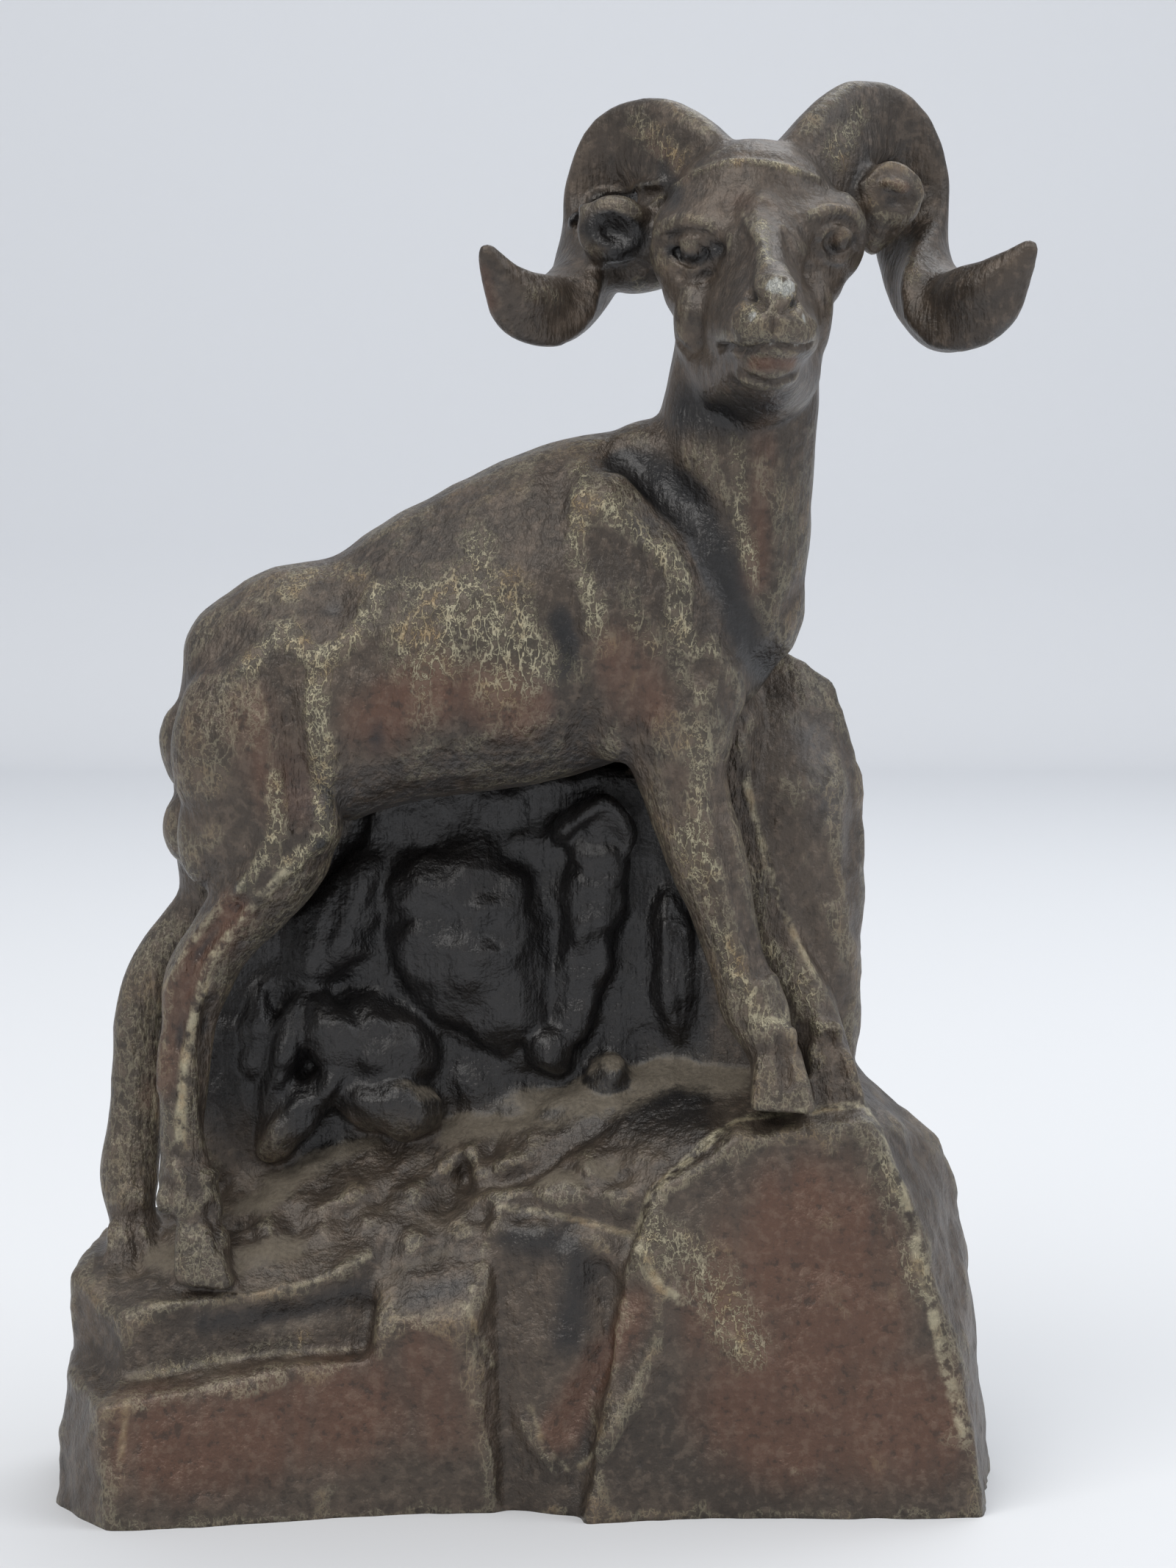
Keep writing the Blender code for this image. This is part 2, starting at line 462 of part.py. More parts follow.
# Rocks in the recess: an outline in x and z, the front's y and the back's
RECESS_ROCKS = [
    ([(-0.8, 74.6), (-7.1, 74.2), (-12.6, 73.4), (-16.8, 70.6), (-19.0, 67.2), (-18.8, 62.6), (-14.6, 57.0),
      (-8.6, 52.0), (-4.0, 49.6), (-1.2, 56.0)], -3.4, 6.0),
    ([(1.2, 75.4), (3.9, 77.7), (6.4, 78.8), (8.6, 77.4), (9.5, 72.2), (8.3, 66.5), (6.6, 60.0), (4.8, 54.6),
      (2.0, 52.4), (0.0, 57.0), (1.2, 64.0), (1.0, 70.0)], -3.4, 6.0),
    ([(13.6, 68.8), (11.8, 64.1), (11.4, 58.2), (13.0, 51.6), (18.0, 50.6), (18.0, 58.2), (16.3, 64.6)],
     -1.8, 6.0),
    ([(-17.9, 73.9), (-24.0, 69.0), (-30.6, 61.6), (-29.0, 54.0), (-23.4, 56.0), (-20.4, 60.0), (-22.0, 66.0)],
     -1.4, 6.0),
    ([(-30.0, 58.0), (-22.4, 57.4), (-15.6, 53.4), (-11.2, 50.9), (-13.0, 47.0), (-24.5, 43.0), (-28.4, 50.0)],
     -3.0, 6.0),
    ([(-33.2, 58.6), (-36.6, 52.6), (-34.6, 45.0), (-31.6, 48.0), (-31.2, 54.0)], -1.4, 5.0),
    ([(-28.9, 57.9), (-28.2, 53.0), (-29.6, 46.0), (-33.4, 41.0), (-33.0, 48.4), (-30.6, 52.6)], -2.2, 5.0),
    ([(-25.8, 46.6), (-27.6, 40.0), (-34.0, 36.6), (-32.2, 42.0), (-29.2, 45.0)], -3.6, 4.0),
    ([(-13.6, 47.6), (-20.6, 46.6), (-24.6, 40.6), (-18.6, 39.6), (-12.6, 43.0)], -4.0, 4.0),
]


def new_object(name, clay, folder):
    """A mesh object from a bmesh in millimetres."""
    mesh = bpy.data.meshes.new(name)
    clay.to_mesh(mesh)
    clay.free()
    made = bpy.data.objects.new(name, mesh)
    folder.objects.link(made)
    return made


def bake(made):
    """Apply the modifiers, by taking the mesh as they leave it."""
    bpy.context.view_layer.update()
    depsgraph = bpy.context.evaluated_depsgraph_get()
    mesh = bpy.data.meshes.new_from_object(made.evaluated_get(depsgraph))
    made.modifiers.clear()
    old = made.data
    made.data = mesh
    bpy.data.meshes.remove(old)


def remesh(made, grain):
    blend = made.modifiers.new("Blend", "REMESH")
    blend.mode = "VOXEL"
    blend.voxel_size = grain
    bake(made)


def places_of(made):
    places = np.empty(len(made.data.vertices) * 3)
    made.data.vertices.foreach_get("co", places)
    return places.reshape(-1, 3)


def normals_of(made):
    normals = np.empty(len(made.data.vertices) * 3)
    made.data.vertices.foreach_get("normal", normals)
    return normals.reshape(-1, 3)


def put_places(made, places):
    made.data.vertices.foreach_set("co", places.ravel())
    made.data.update()


def edges_of(made):
    ends = np.empty(len(made.data.edges) * 2, int)
    made.data.edges.foreach_get("vertices", ends)
    return ends.reshape(-1, 2).T


def around(values, tail, head, count):
    """The mean of each vertex's neighbours."""
    degree = np.bincount(tail, minlength=count) + np.bincount(head, minlength=count)
    total = np.stack([
        np.bincount(tail, values[head, axis], count) + np.bincount(head, values[tail, axis], count)
        for axis in range(values.shape[1])
    ], axis=1)
    return total / np.maximum(degree, 1)[:, None]


def relax(made, rounds):
    """Smooth the mesh, and push it back out after each round so that it keeps its girth."""
    tail, head = edges_of(made)
    places = places_of(made)
    for _ in range(rounds):
        for step in (0.6, -0.58):
            places += step * (around(places, tail, head, len(places)) - places)
    put_places(made, places)


def tree_of(made):
    """The mesh as a tree that rays and distances can be asked of."""
    return BVHTree.FromPolygons(
        [tuple(place) for place in places_of(made)], [tuple(face.vertices) for face in made.data.polygons]
    )


def seen(tree, points, eye=EYE):
    """Where the lines of sight from the eye through points on the plane y = 0 meet the casting."""
    found = []
    start = Vector(eye * GROW)
    for x, z in points:
        aim = (Vector((x, 0, z) * GROW) - start).normalized()
        hit = tree.ray_cast(start, aim)[0]
        if hit is not None:
            found.append(hit)
    return np.array(found)


def nearness(places, path, width):
    """1 on the path and 0 a width away from it, for each place."""
    path = np.atleast_2d(path)
    best = np.full(len(places), np.inf)
    low = path.min(0) - width
    high = path.max(0) + width
    close = np.flatnonzero(((places > low) & (places < high)).all(1))
    spots = places[close]
    starts = path[:-1] if len(path) > 1 else path
    ends = path[1:] if len(path) > 1 else path
    for start, end in zip(starts, ends):
        run = end - start
        share = np.clip((spots - start) @ run / max(run @ run, 1e-9), 0, 1)
        gap = np.linalg.norm(spots - start - share[:, None] * run, axis=1)
        best[close] = np.minimum(best[close], gap)
    fall = np.clip(1 - best / width, 0, 1)
    return fall * fall * (3 - 2 * fall)


def carve(made, lines, eye=EYE):
    """Raise or sink the surface along lines drawn on it."""
    places = places_of(made)
    normals = normals_of(made)
    tree = tree_of(made)
    for width, height, points in lines:
        path = seen(tree, smooth_rows(points, 4) if len(points) > 1 else points, eye)
        if len(path):
            places += normals * (height * nearness(places, path, width))[:, None]
    put_places(made, places)


# Carved lines: width, height (a groove is negative) and points in the plane y = 0
BODY_LINES = [
    (2.6, 0.35, [(-34.8, 94.3), (-30.2, 98.0), (-27.6, 95.6), (-23.9, 96.2), (-21.2, 99.1), (-19.6, 102.9)]),
    (3.0, 0.5, [(-26.0, 94.8), (-26.8, 90.0), (-26.0, 81.9), (-26.0, 74.4)]),
    (2.4, 0.4, [(-34.8, 94.3), (-33.6, 89.5), (-31.9, 83.6), (-31.4, 74.9), (-35.0, 69.2)]),
    (4.2, -0.7, [(-24.8, 101.2)]),
    (4.6, -1.0, [(-21.0, 96.0), (-19.6, 88.0), (-20.4, 80.0)]),
    (3.4, -0.5, [(-30.2, 92.0), (-29.4, 86.0), (-28.6, 79.0)]),
    (5.6, -0.9, [(-36.0, 102.0), (-38.6, 95.0)]),
    (2.6, 0.4, [(3.5, 116.6), (3.3, 111.3), (3.0, 107.0), (4.7, 102.9), (5.5, 100.3), (5.2, 98.8)]),
    (2.8, 0.45, [(6.9, 112.6), (10.6, 108.8), (14.8, 105.4), (14.9, 100.4), (16.5, 96.2), (18.5, 95.8),
                 (17.7, 89.1)]),
    (4.6, -1.5, [(8.9, 117.7), (15.8, 113.0), (19.5, 106.5), (21.7, 99.1), (25.0, 93.6)]),
    (2.2, -0.5, [(20.2, 123.0), (21.4, 116.3), (24.0, 109.6), (24.8, 102.9)]),
    (4.4, -1.1, [(1.0, 100.0), (2.6, 94.0), (3.4, 86.0)]),
    (1.6, 0.4, [(4.0, 93.2), (2.7, 89.5), (1.3, 85.3)]),
    (3.4, -0.6, [(9.0, 112.0), (10.5, 103.0), (12.5, 94.0)]),
    (3.4, -0.6, [(-1.6, 114.0), (-1.0, 106.0)]),
    (2.4, -0.4, [(-9.0, 92.0), (-9.6, 86.0), (-10.4, 81.0)]),
    (3.0, -0.5, [(-14.0, 100.0), (-15.0, 92.0), (-15.0, 84.0)]),
]
LEG_LINES = [
    (1.3, 0.45, [(-26.0, 74.4), (-29.8, 71.1), (-37.9, 61.9), (-40.2, 56.0), (-42.0, 48.4), (-42.6, 39.6)]),
    (1.2, 0.4, [(-35.0, 69.2), (-40.5, 63.3), (-43.6, 57.3), (-44.4, 52.2), (-44.8, 45.4)]),
    (1.6, -0.6, [(-36.0, 66.4), (-40.8, 60.4), (-42.4, 54.0), (-43.2, 44.0)]),
    (1.6, -0.5, [(-39.2, 55.0), (-39.8, 47.0), (-39.6, 40.0)]),
    (1.4, -0.5, [(-41.6, 36.0), (-40.4, 33.0), (-39.0, 31.0)]),
    (1.2, 0.5, [(-44.0, 36.4), (-41.0, 35.0), (-38.6, 35.4)]),
    (1.4, -0.7, [(-39.4, 30.6), (-37.2, 29.6), (-35.2, 29.8)]),
    (1.1, -0.8, [(-38.4, 29.8), (-37.8, 26.6)]),
    (1.6, 0.4, [(16.4, 80.0), (18.2, 73.0), (20.0, 67.0), (22.0, 60.6)]),
    (1.6, -0.5, [(19.2, 80.0), (20.6, 73.0), (22.2, 66.0), (24.4, 59.0)]),
    (1.6, 0.5, [(22.0, 85.0), (23.6, 78.0), (26.0, 70.0), (28.4, 63.0), (31.0, 57.0)]),
    (1.3, 0.5, [(20.6, 58.6), (23.4, 57.4), (26.2, 58.2)]),
    (1.3, -0.6, [(21.0, 55.6), (24.0, 54.4), (27.4, 54.8)]),
    (1.3, -0.6, [(26.8, 52.8), (28.6, 50.4), (29.4, 48.0)]),
]
FACE_LINES = [
    (2.4, -1.7, [(14.3, 141.2), (16.2, 140.8), (18.2, 141.4)]),
    (2.2, -1.3, [(30.9, 141.8), (32.4, 142.3), (33.6, 142.2)]),
    (3.0, -1.3, [(17.0, 138.2), (16.4, 134.6), (15.8, 131.0)]),
    (1.8, -0.8, [(29.4, 139.6), (29.2, 136.6), (29.8, 133.6)]),
    (1.1, 0.5, [(21.8, 145.5), (22.8, 143.9), (24.1, 142.4), (24.5, 139.7)]),
    (1.1, 0.5, [(26.3, 144.3), (27.7, 142.2), (28.1, 140.8)]),
    (1.6, -0.5, [(24.6, 146.4), (25.4, 143.6), (26.0, 141.0)]),
    (1.8, -0.5, [(20.2, 147.0), (20.4, 144.6)]),
]
FINE_LINES = [
    (0.9, 0.45, [(13.4, 141.3), (15.1, 142.4), (17.2, 142.5), (18.5, 141.4)]),
    (0.9, 0.4, [(13.4, 141.1), (15.1, 139.6), (16.5, 139.2), (17.9, 140.0), (18.5, 141.2)]),
    (0.8, 0.4, [(30.7, 141.9), (31.3, 143.5), (32.8, 144.0), (33.8, 143.2)]),
    (0.8, 0.4, [(30.7, 141.7), (31.8, 140.5), (33.2, 140.4), (34.0, 141.4)]),
    (0.8, -0.9, [(22.9, 136.4), (23.6, 135.8), (24.2, 135.2)]),
    (0.8, -0.9, [(26.7, 134.7), (27.3, 134.8), (28.0, 135.5)]),
    (0.8, -0.9, [(18.7, 130.4), (19.9, 130.4), (22.3, 130.0), (25.5, 130.5), (28.8, 130.3), (30.2, 130.6)]),
    (0.9, -0.5, [(21.4, 128.0), (23.1, 126.9), (25.5, 126.3), (28.1, 127.2)]),
    (0.6, -0.5, [(25.5, 134.6), (25.5, 132.3)]),
    (0.8, -0.5, [(14.0, 131.7), (16.0, 129.8), (17.1, 130.4)]),
    (0.8, 0.35, [(11.8, 146.4), (15.5, 149.4), (18.8, 150.9), (21.8, 151.4), (26.3, 150.9), (30.5, 149.4)]),
]
EAR_LINES = [
    (3.4, -2.6, [(6.6, 144.2), (8.6, 144.0)]),
    (2.4, -1.3, [(38.6, 147.0), (40.4, 146.6)]),
    (0.9, 0.4, [(3.4, 144.6), (4.9, 147.0), (7.8, 147.8), (10.6, 146.4)]),
    (0.9, 0.4, [(35.4, 148.4), (38.4, 151.0), (41.6, 149.4), (42.4, 147.0)]),
    (1.6, 0.9, [(38.6, 148.6), (39.8, 148.0)]),
]
ROCK_LINES = [
    (1.3, 0.6, [(-0.8, 74.2), (-7.1, 73.9), (-12.6, 73.2), (-16.6, 70.6), (-18.8, 67.2)]),
    (1.6, -0.8, [(-15.0, 67.0), (-10.0, 64.6), (-3.0, 64.0)]),
    (1.4, 0.5, [(-16.0, 64.6), (-11.0, 62.6), (-4.0, 62.4)]),
    (1.8, -0.9, [(3.4, 75.0), (5.4, 73.8), (7.4, 74.4)]),
    (1.0, 0.6, [(2.2, 75.6), (4.4, 77.2), (6.6, 78.0), (8.4, 76.6), (8.9, 72.6)]),
    (1.2, -0.9, [(2.8, 71.0), (4.8, 70.0), (7.4, 71.0)]),
    (1.4, -0.8, [(4.6, 68.0), (5.0, 61.0), (3.6, 56.0)]),
    (1.0, -0.9, [(14.6, 66.0), (14.4, 60.0), (15.4, 54.0)]),
    (1.1, 0.5, [(-18.4, 73.4), (-23.6, 69.0), (-29.6, 61.8)]),
    (1.4, -0.8, [(-24.6, 66.0), (-26.0, 60.0), (-22.0, 54.0)]),
    (1.6, -0.8, [(-21.0, 52.0), (-17.0, 48.6)]),
    (1.4, -0.9, [(-20.6, 33.0), (-20.2, 26.0), (-19.6, 18.6)]),
    (2.0, -1.0, [(-8.0, 34.0), (-2.0, 36.0), (6.0, 41.0)]),
    (1.4, -0.8, [(-4.6, 42.0), (-7.0, 38.0), (-6.0, 34.6)]),
    (1.6, 0.6, [(-5.0, 41.0), (-9.0, 37.6), (-16.0, 34.0)]),
    (1.8, -0.7, [(-34.0, 28.0), (-26.0, 30.0), (-19.0, 33.0)]),
    (1.6, -0.7, [(-33.0, 18.0), (-25.0, 19.6), (-20.0, 19.4)]),
    (1.6, 0.6, [(-44.0, 15.6), (-36.0, 18.4), (-27.0, 20.2)]),
    (1.2, -0.6, [(2.0, 36.0), (6.0, 34.0), (9.0, 35.0)]),
    (1.6, 0.5, [(0.0, 33.4), (4.0, 36.0), (8.4, 33.0)]),
]


def join(made, other):
    """Put another object's mesh into this one."""
    both = bmesh.new()
    both.from_mesh(made.data)
    both.from_mesh(other.data)
    both.to_mesh(made.data)
    both.free()
    bpy.data.objects.remove(other)


def inset(outline, distance):
    """The outline moved inwards by a distance, its corners mitred."""
    points = np.array(outline, float) * GROW[:2]
    before = unit(points - np.roll(points, 1, axis=0))
    after = unit(np.roll(points, -1, axis=0) - points)
    inward_before = np.stack([-before[:, 1], before[:, 0]], axis=1)
    inward_after = np.stack([-after[:, 1], after[:, 0]], axis=1)
    mitre = unit(inward_before + inward_after)
    stretch = (mitre * inward_after).sum(1)
    return points + mitre * (distance / np.maximum(stretch, 0.5))[:, None]


def add_plate(clay, outline, low, high):
    """A flat plate of an outline, from one height to another."""
    ring = [clay.verts.new((x, y, low)) for x, y in outline]
    face = clay.faces.new(ring)
    raised = bmesh.ops.extrude_face_region(clay, geom=[face])
    tops = [v for v in raised["geom"] if isinstance(v, bmesh.types.BMVert)]
    bmesh.ops.translate(clay, verts=tops, vec=(0, 0, high - low))
    bmesh.ops.recalc_face_normals(clay, faces=clay.faces[:])


def cut(made, cutter, operation="DIFFERENCE"):
    joint = made.modifiers.new("Cut", "BOOLEAN")
    joint.operation = operation
    joint.solver = "EXACT"
    joint.object = cutter
    bake(made)


def thin(made, faces, care=None):
    """Fewer triangles, with the places named by care kept more finely."""
    fewer = made.modifiers.new("Fewer", "DECIMATE")
    total = sum(len(face.vertices) - 2 for face in made.data.polygons)
    fewer.ratio = min(1.0, faces / total)
    fewer.use_collapse_triangulate = True
    if care is not None:
        group = made.vertex_groups.new(name="Care")
        for level in np.unique(np.round(care, 1)):
            chosen = np.flatnonzero(np.round(care, 1) == level)
            group.add(chosen.tolist(), 1 - 0.9 * float(level), "REPLACE")
        fewer.vertex_group = "Care"
        fewer.vertex_group_factor = HEAD_CARE
    bake(made)


def coat(made, name, colour, roughness, metallic):
    material = bpy.data.materials.new(name)
    material.use_nodes = True
    shader = material.node_tree.nodes["Principled BSDF"]
    shader.inputs["Base Color"].default_value = colour
    shader.inputs["Roughness"].default_value = roughness
    shader.inputs["Metallic"].default_value = metallic
    made.data.materials.clear()
    made.data.materials.append(material)


def make_outside(folder):
    """The casting's outer form: the ram and the rock blended, then carved."""
    clay = bmesh.new()
    for add in (add_torso, add_haunches, add_shoulders, add_neck, add_legs, add_head, add_ears, add_horns):
        add(clay)
    casting = new_object("casting", clay, folder)
    remesh(casting, GRAIN)
    relax(casting, RAM_ROUNDS)
    rocks = bmesh.new()
    add_foot_rocks(rocks)
    add_wall_rocks(rocks)
    rock = new_object("rock", rocks, folder)
    remesh(rock, GRAIN)
    relax(rock, ROCK_ROUNDS)
    join(casting, rock)
    remesh(casting, GRAIN)
    relax(casting, ROCK_ROUNDS)
    carve(casting, BODY_LINES + LEG_LINES + FACE_LINES + EAR_LINES + ROCK_LINES)
    carve(casting, BODY_LINES, OTHER_EYE)
    eyes = bmesh.new()
    add_eyes(eyes)
    join(casting, new_object("eyes", eyes, folder))
    remesh(casting, GRAIN)
    carve(casting, FINE_LINES)
    return casting


def make_cutters(folder):
    """What is cut from the casting: the floor, the hollow, the cover's seat and the slot."""
    floor = bmesh.new()
    wide = [(-LENGTH, -DEPTH), (LENGTH, -DEPTH), (LENGTH, DEPTH), (-LENGTH, DEPTH)]
    add_plate(floor, wide, -FLOOR_CUT, 0)
    hollow = bmesh.new()
    add_torso(hollow, WALL)
    add_wall_rocks(hollow, WALL)
    add_foot_rocks(hollow, WALL)
    space = new_object("hollow", hollow, folder)
    remesh(space, HOLLOW_GRAIN)
    thin(space, HOLLOW_FACES)
    mouth = bmesh.new()
    add_plate(mouth, inset(FOOT, RIM + SEAT), -1, seat_top() + LEDGE_THICK + 2)
    seat = bmesh.new()
    add_plate(seat, inset(FOOT, RIM), -1, seat_top())
    slot = bmesh.new()
    place = Matrix.Translation((SLOT_X, SLOT_FACE_Y, SLOT_Z) * GROW)
    size = Matrix.Diagonal((SLOT_LENGTH, SLOT_REACH, SLOT_WIDTH, 1))
    bmesh.ops.create_cube(slot, size=1, matrix=place @ size)
    cutters = [new_object("floor", floor, folder), space]
    cutters.append(new_object("mouth", mouth, folder))
    cutters.append(new_object("seat", seat, folder))
    cutters.append(new_object("slot", slot, folder))
    return cutters


def make_casting(parts, tools):
    casting = make_outside(parts)
    care = np.clip((places_of(casting)[:, 2] / GROW[2] - HEAD_LOW) / HEAD_FADE, 0, 1)
    thin(casting, CAST_FACES, care)
    for cutter in make_cutters(tools):
        cut(casting, cutter)
    return casting


def make_cover(parts, tools):
    """The flat cover, with the hole that the coins come out of."""
    clay = bmesh.new()
    add_plate(clay, inset(FOOT, RIM + COVER_GAP), COVER_RECESS, COVER_RECESS + COVER_THICK)
    cover = new_object("base_cover", clay, parts)
    hole = bmesh.new()
    place = Matrix.Translation((HOLE_X * GROW[0], HOLE_Y * GROW[1], COVER_RECESS))
    bmesh.ops.create_cone(
        hole, cap_ends=True, segments=64, radius1=HOLE_RADIUS, radius2=HOLE_RADIUS,
        depth=4 * COVER_THICK, matrix=place,
    )
    cut(cover, new_object("hole", hole, tools))
    return cover


def make_stopper(parts):
    """A soft cup pushed up into the hole, held by a flange under the cover and a bead over it."""
    body = HOLE_RADIUS - STOPPER_GAP
    flange = HOLE_RADIUS + FLANGE_WIDTH
    under = COVER_RECESS - STOPPER_GAP
    over = COVER_RECESS + COVER_THICK + STOPPER_GAP
    top = COVER_RECESS + STOPPER_DEPTH
    profile = [
        (0, under - FLANGE_THICK), (flange - 0.3, under - FLANGE_THICK),
        (flange, under - FLANGE_THICK / 2), (flange, under), (body, under), (body, over),
        (body + BEAD_WIDTH, over + BEAD_WIDTH), (body, top - BEAD_WIDTH), (body - 0.4, top),
        (body - STOPPER_WALL, top), (body - STOPPER_WALL, under + STOPPER_WALL / 2),
        (0, under + STOPPER_WALL / 2),
    ]
    clay = bmesh.new()
    verts = [clay.verts.new((radius, 0, height)) for radius, height in profile]
    for first, second in zip(verts, verts[1:]):
        clay.edges.new((first, second))
    bmesh.ops.spin(
        clay, geom=clay.verts[:] + clay.edges[:], cent=(0, 0, 0), axis=(0, 0, 1), steps=48,
        angle=2 * np.pi,
    )
    bmesh.ops.remove_doubles(clay, verts=clay.verts[:], dist=0.0001)
    bmesh.ops.recalc_face_normals(clay, faces=clay.faces[:])
    bmesh.ops.translate(clay, verts=clay.verts[:], vec=(HOLE_X * GROW[0], HOLE_Y * GROW[1], 0))
    return new_object("coin_stopper", clay, parts)


def finish(piece, stand):
    """Turn a piece's millimetres into metres and stand it with the others."""
    piece.data.transform(Matrix.Scale(MM, 4))
    piece.parent = stand
    if piece.hide_render:
        return
    piece.data.shade_smooth()
    piece.data.set_sharp_from_angle(angle=np.radians(35))


def main():
    for old in list(bpy.data.objects):
        bpy.data.objects.remove(old)
    parts = bpy.data.collections.new("bighorn_coin_bank")
    tools = bpy.data.collections.new("cutters")
    bpy.context.scene.collection.children.link(parts)
    bpy.context.scene.collection.children.link(tools)
    stand = bpy.data.objects.new("bank", None)
    parts.objects.link(stand)
    stand.location = (CENTRE_X * GROW[0] * MM, CENTRE_Y * GROW[1] * MM, 0)
    casting = make_casting(parts, tools)
    cover = make_cover(parts, tools)
    stopper = make_stopper(parts)
    coat(casting, "bronzed metal", BRONZE, 0.45, 0.6)
    coat(cover, "dark plate", PLATE, 0.5, 0.8)
    coat(stopper, "black rubber", RUBBER, 0.7, 0.0)
    for cutter in tools.objects:
        cutter.hide_render = True
        cutter.display_type = "WIRE"
    for piece in list(tools.objects) + [casting, cover, stopper]:
        finish(piece, stand)
    bpy.context.view_layer.update()


main()
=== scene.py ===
"""Looks for the bighorn sheep coin bank: a worn bronzed casting on a plain pale stage."""

import bmesh
import bpy
import numpy as np
from mathutils import Matrix, Vector, noise
from mathutils.bvhtree import BVHTree


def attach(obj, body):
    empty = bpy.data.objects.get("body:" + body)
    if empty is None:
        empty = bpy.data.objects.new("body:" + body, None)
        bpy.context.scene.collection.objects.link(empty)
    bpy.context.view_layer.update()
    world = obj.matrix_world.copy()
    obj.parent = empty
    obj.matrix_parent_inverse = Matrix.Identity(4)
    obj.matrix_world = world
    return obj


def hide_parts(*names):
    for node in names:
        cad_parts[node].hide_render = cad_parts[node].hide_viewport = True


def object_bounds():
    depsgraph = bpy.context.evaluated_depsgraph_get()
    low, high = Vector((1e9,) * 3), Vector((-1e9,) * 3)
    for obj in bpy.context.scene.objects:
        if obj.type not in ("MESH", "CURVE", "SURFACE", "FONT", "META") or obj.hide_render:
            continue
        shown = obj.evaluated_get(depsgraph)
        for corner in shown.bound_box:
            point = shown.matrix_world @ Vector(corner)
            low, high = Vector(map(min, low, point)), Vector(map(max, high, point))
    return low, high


bl_info = {
    "name": "Bighorn sheep coin bank",
    "version": (1, 0, 0),
    "blender": (4, 5, 0),
    "location": "3D View > Sidebar > Coin bank",
    "description": "Models and finishes a cast ram coin bank over its solid parts",
    "category": "Object",
}

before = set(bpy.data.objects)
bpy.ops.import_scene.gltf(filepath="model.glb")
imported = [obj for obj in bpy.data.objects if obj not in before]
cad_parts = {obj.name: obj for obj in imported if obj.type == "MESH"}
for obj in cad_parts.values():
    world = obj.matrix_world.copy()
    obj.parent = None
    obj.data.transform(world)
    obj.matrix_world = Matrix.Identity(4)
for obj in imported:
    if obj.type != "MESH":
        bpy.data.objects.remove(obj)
CAD_BOX = [[float(number) for number in corner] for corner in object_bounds()]

MM = 0.001
MIDDLE_Y = -3.0  # the ram's own middle plane
EYE = (4.7, -400.0, 110.6)  # the place that the strokes are drawn from
OTHER_EYE = (4.7, 400.0, 110.6)  # the same place behind the ram
SHIFT = (0.71, 5.15, 0.0)  # from the sculpture's own middle to the part's

# The foot and the openings, in millimetres
WALL = 3.2  # metal round the hollow
RIM = 3.0  # rim that the bank stands on
SEAT = 1.8  # step that the cover lies under
SEAT_TOP = 3.3
LEDGE_THICK = 2.0
SLOT_FACE_Y = 15.5  # flat of the rock that the slot is cut in
SLOT_PLACE = (2.0, SLOT_FACE_Y, 62.0)
SLOT_SIZE = (33.0, 12.0, 4.6)
UNDER_FOOT = ((0, 0, -30), (200, 200, 60))  # middle and size of all that is cut off below
FOOT = [
    (-54.5, -12.0), (-48.0, -22.0), (-36.8, -19.5), (-25.0, -16.5), (-8.0, -15.0), (-1.0, -13.0),
    (4.2, -19.5), (13.4, -17.5), (46.7, -18.0), (50.5, -6.0), (51.5, 6.0), (44.0, 18.0),
    (12.0, 21.0), (-18.0, 19.5), (-47.0, 21.5), (-54.5, 10.0),
]

# How finely the forms are blended, and how often they are smoothed
BLEND_GRAIN = 0.5
JOIN_GRAIN = 0.45
HOLLOW_GRAIN = 1.6
RAM_ROUNDS = 3
ROCK_ROUNDS = 1
RECESS_ROUNDS = 2
MOST_FACES = 188000  # triangles of the outer form
HOLLOW_FACES = 900
CARE_STEPS = 10
CARE_SHARE = 0.9  # of the thinning that full care takes off
CARE_FACTOR = 0.02
BEND_REACH = 6  # rounds of averaging that a ridge or crease is measured over
BEND_BLUR = 2
HORN_REACH = 9.5  # of the horn's finish from its middle line


def smooth_rows(rows, steps):
    """Rows of numbers that a Catmull-Rom curve passes through, with steps rows for each span."""
    rows = np.array(rows, float)
    padded = np.vstack([2 * rows[0] - rows[1], rows, 2 * rows[-1] - rows[-2]])
    found = []
    for i in range(len(rows) - 1):
        a, b, c, d = padded[i:i + 4]
        for t in np.arange(steps) / steps:
            cubic = (3 * b - a - 3 * c + d) * t**3
            square = (2 * a - 5 * b + 4 * c - d) * t**2
            found.append(0.5 * (2 * b + (c - a) * t + square + cubic))
    found.append(rows[-1])
    return np.array(found)


def unit(vectors):
    """The vectors, each one long."""
    length = np.linalg.norm(vectors, axis=-1, keepdims=True)
    return vectors / np.maximum(length, 1e-9)


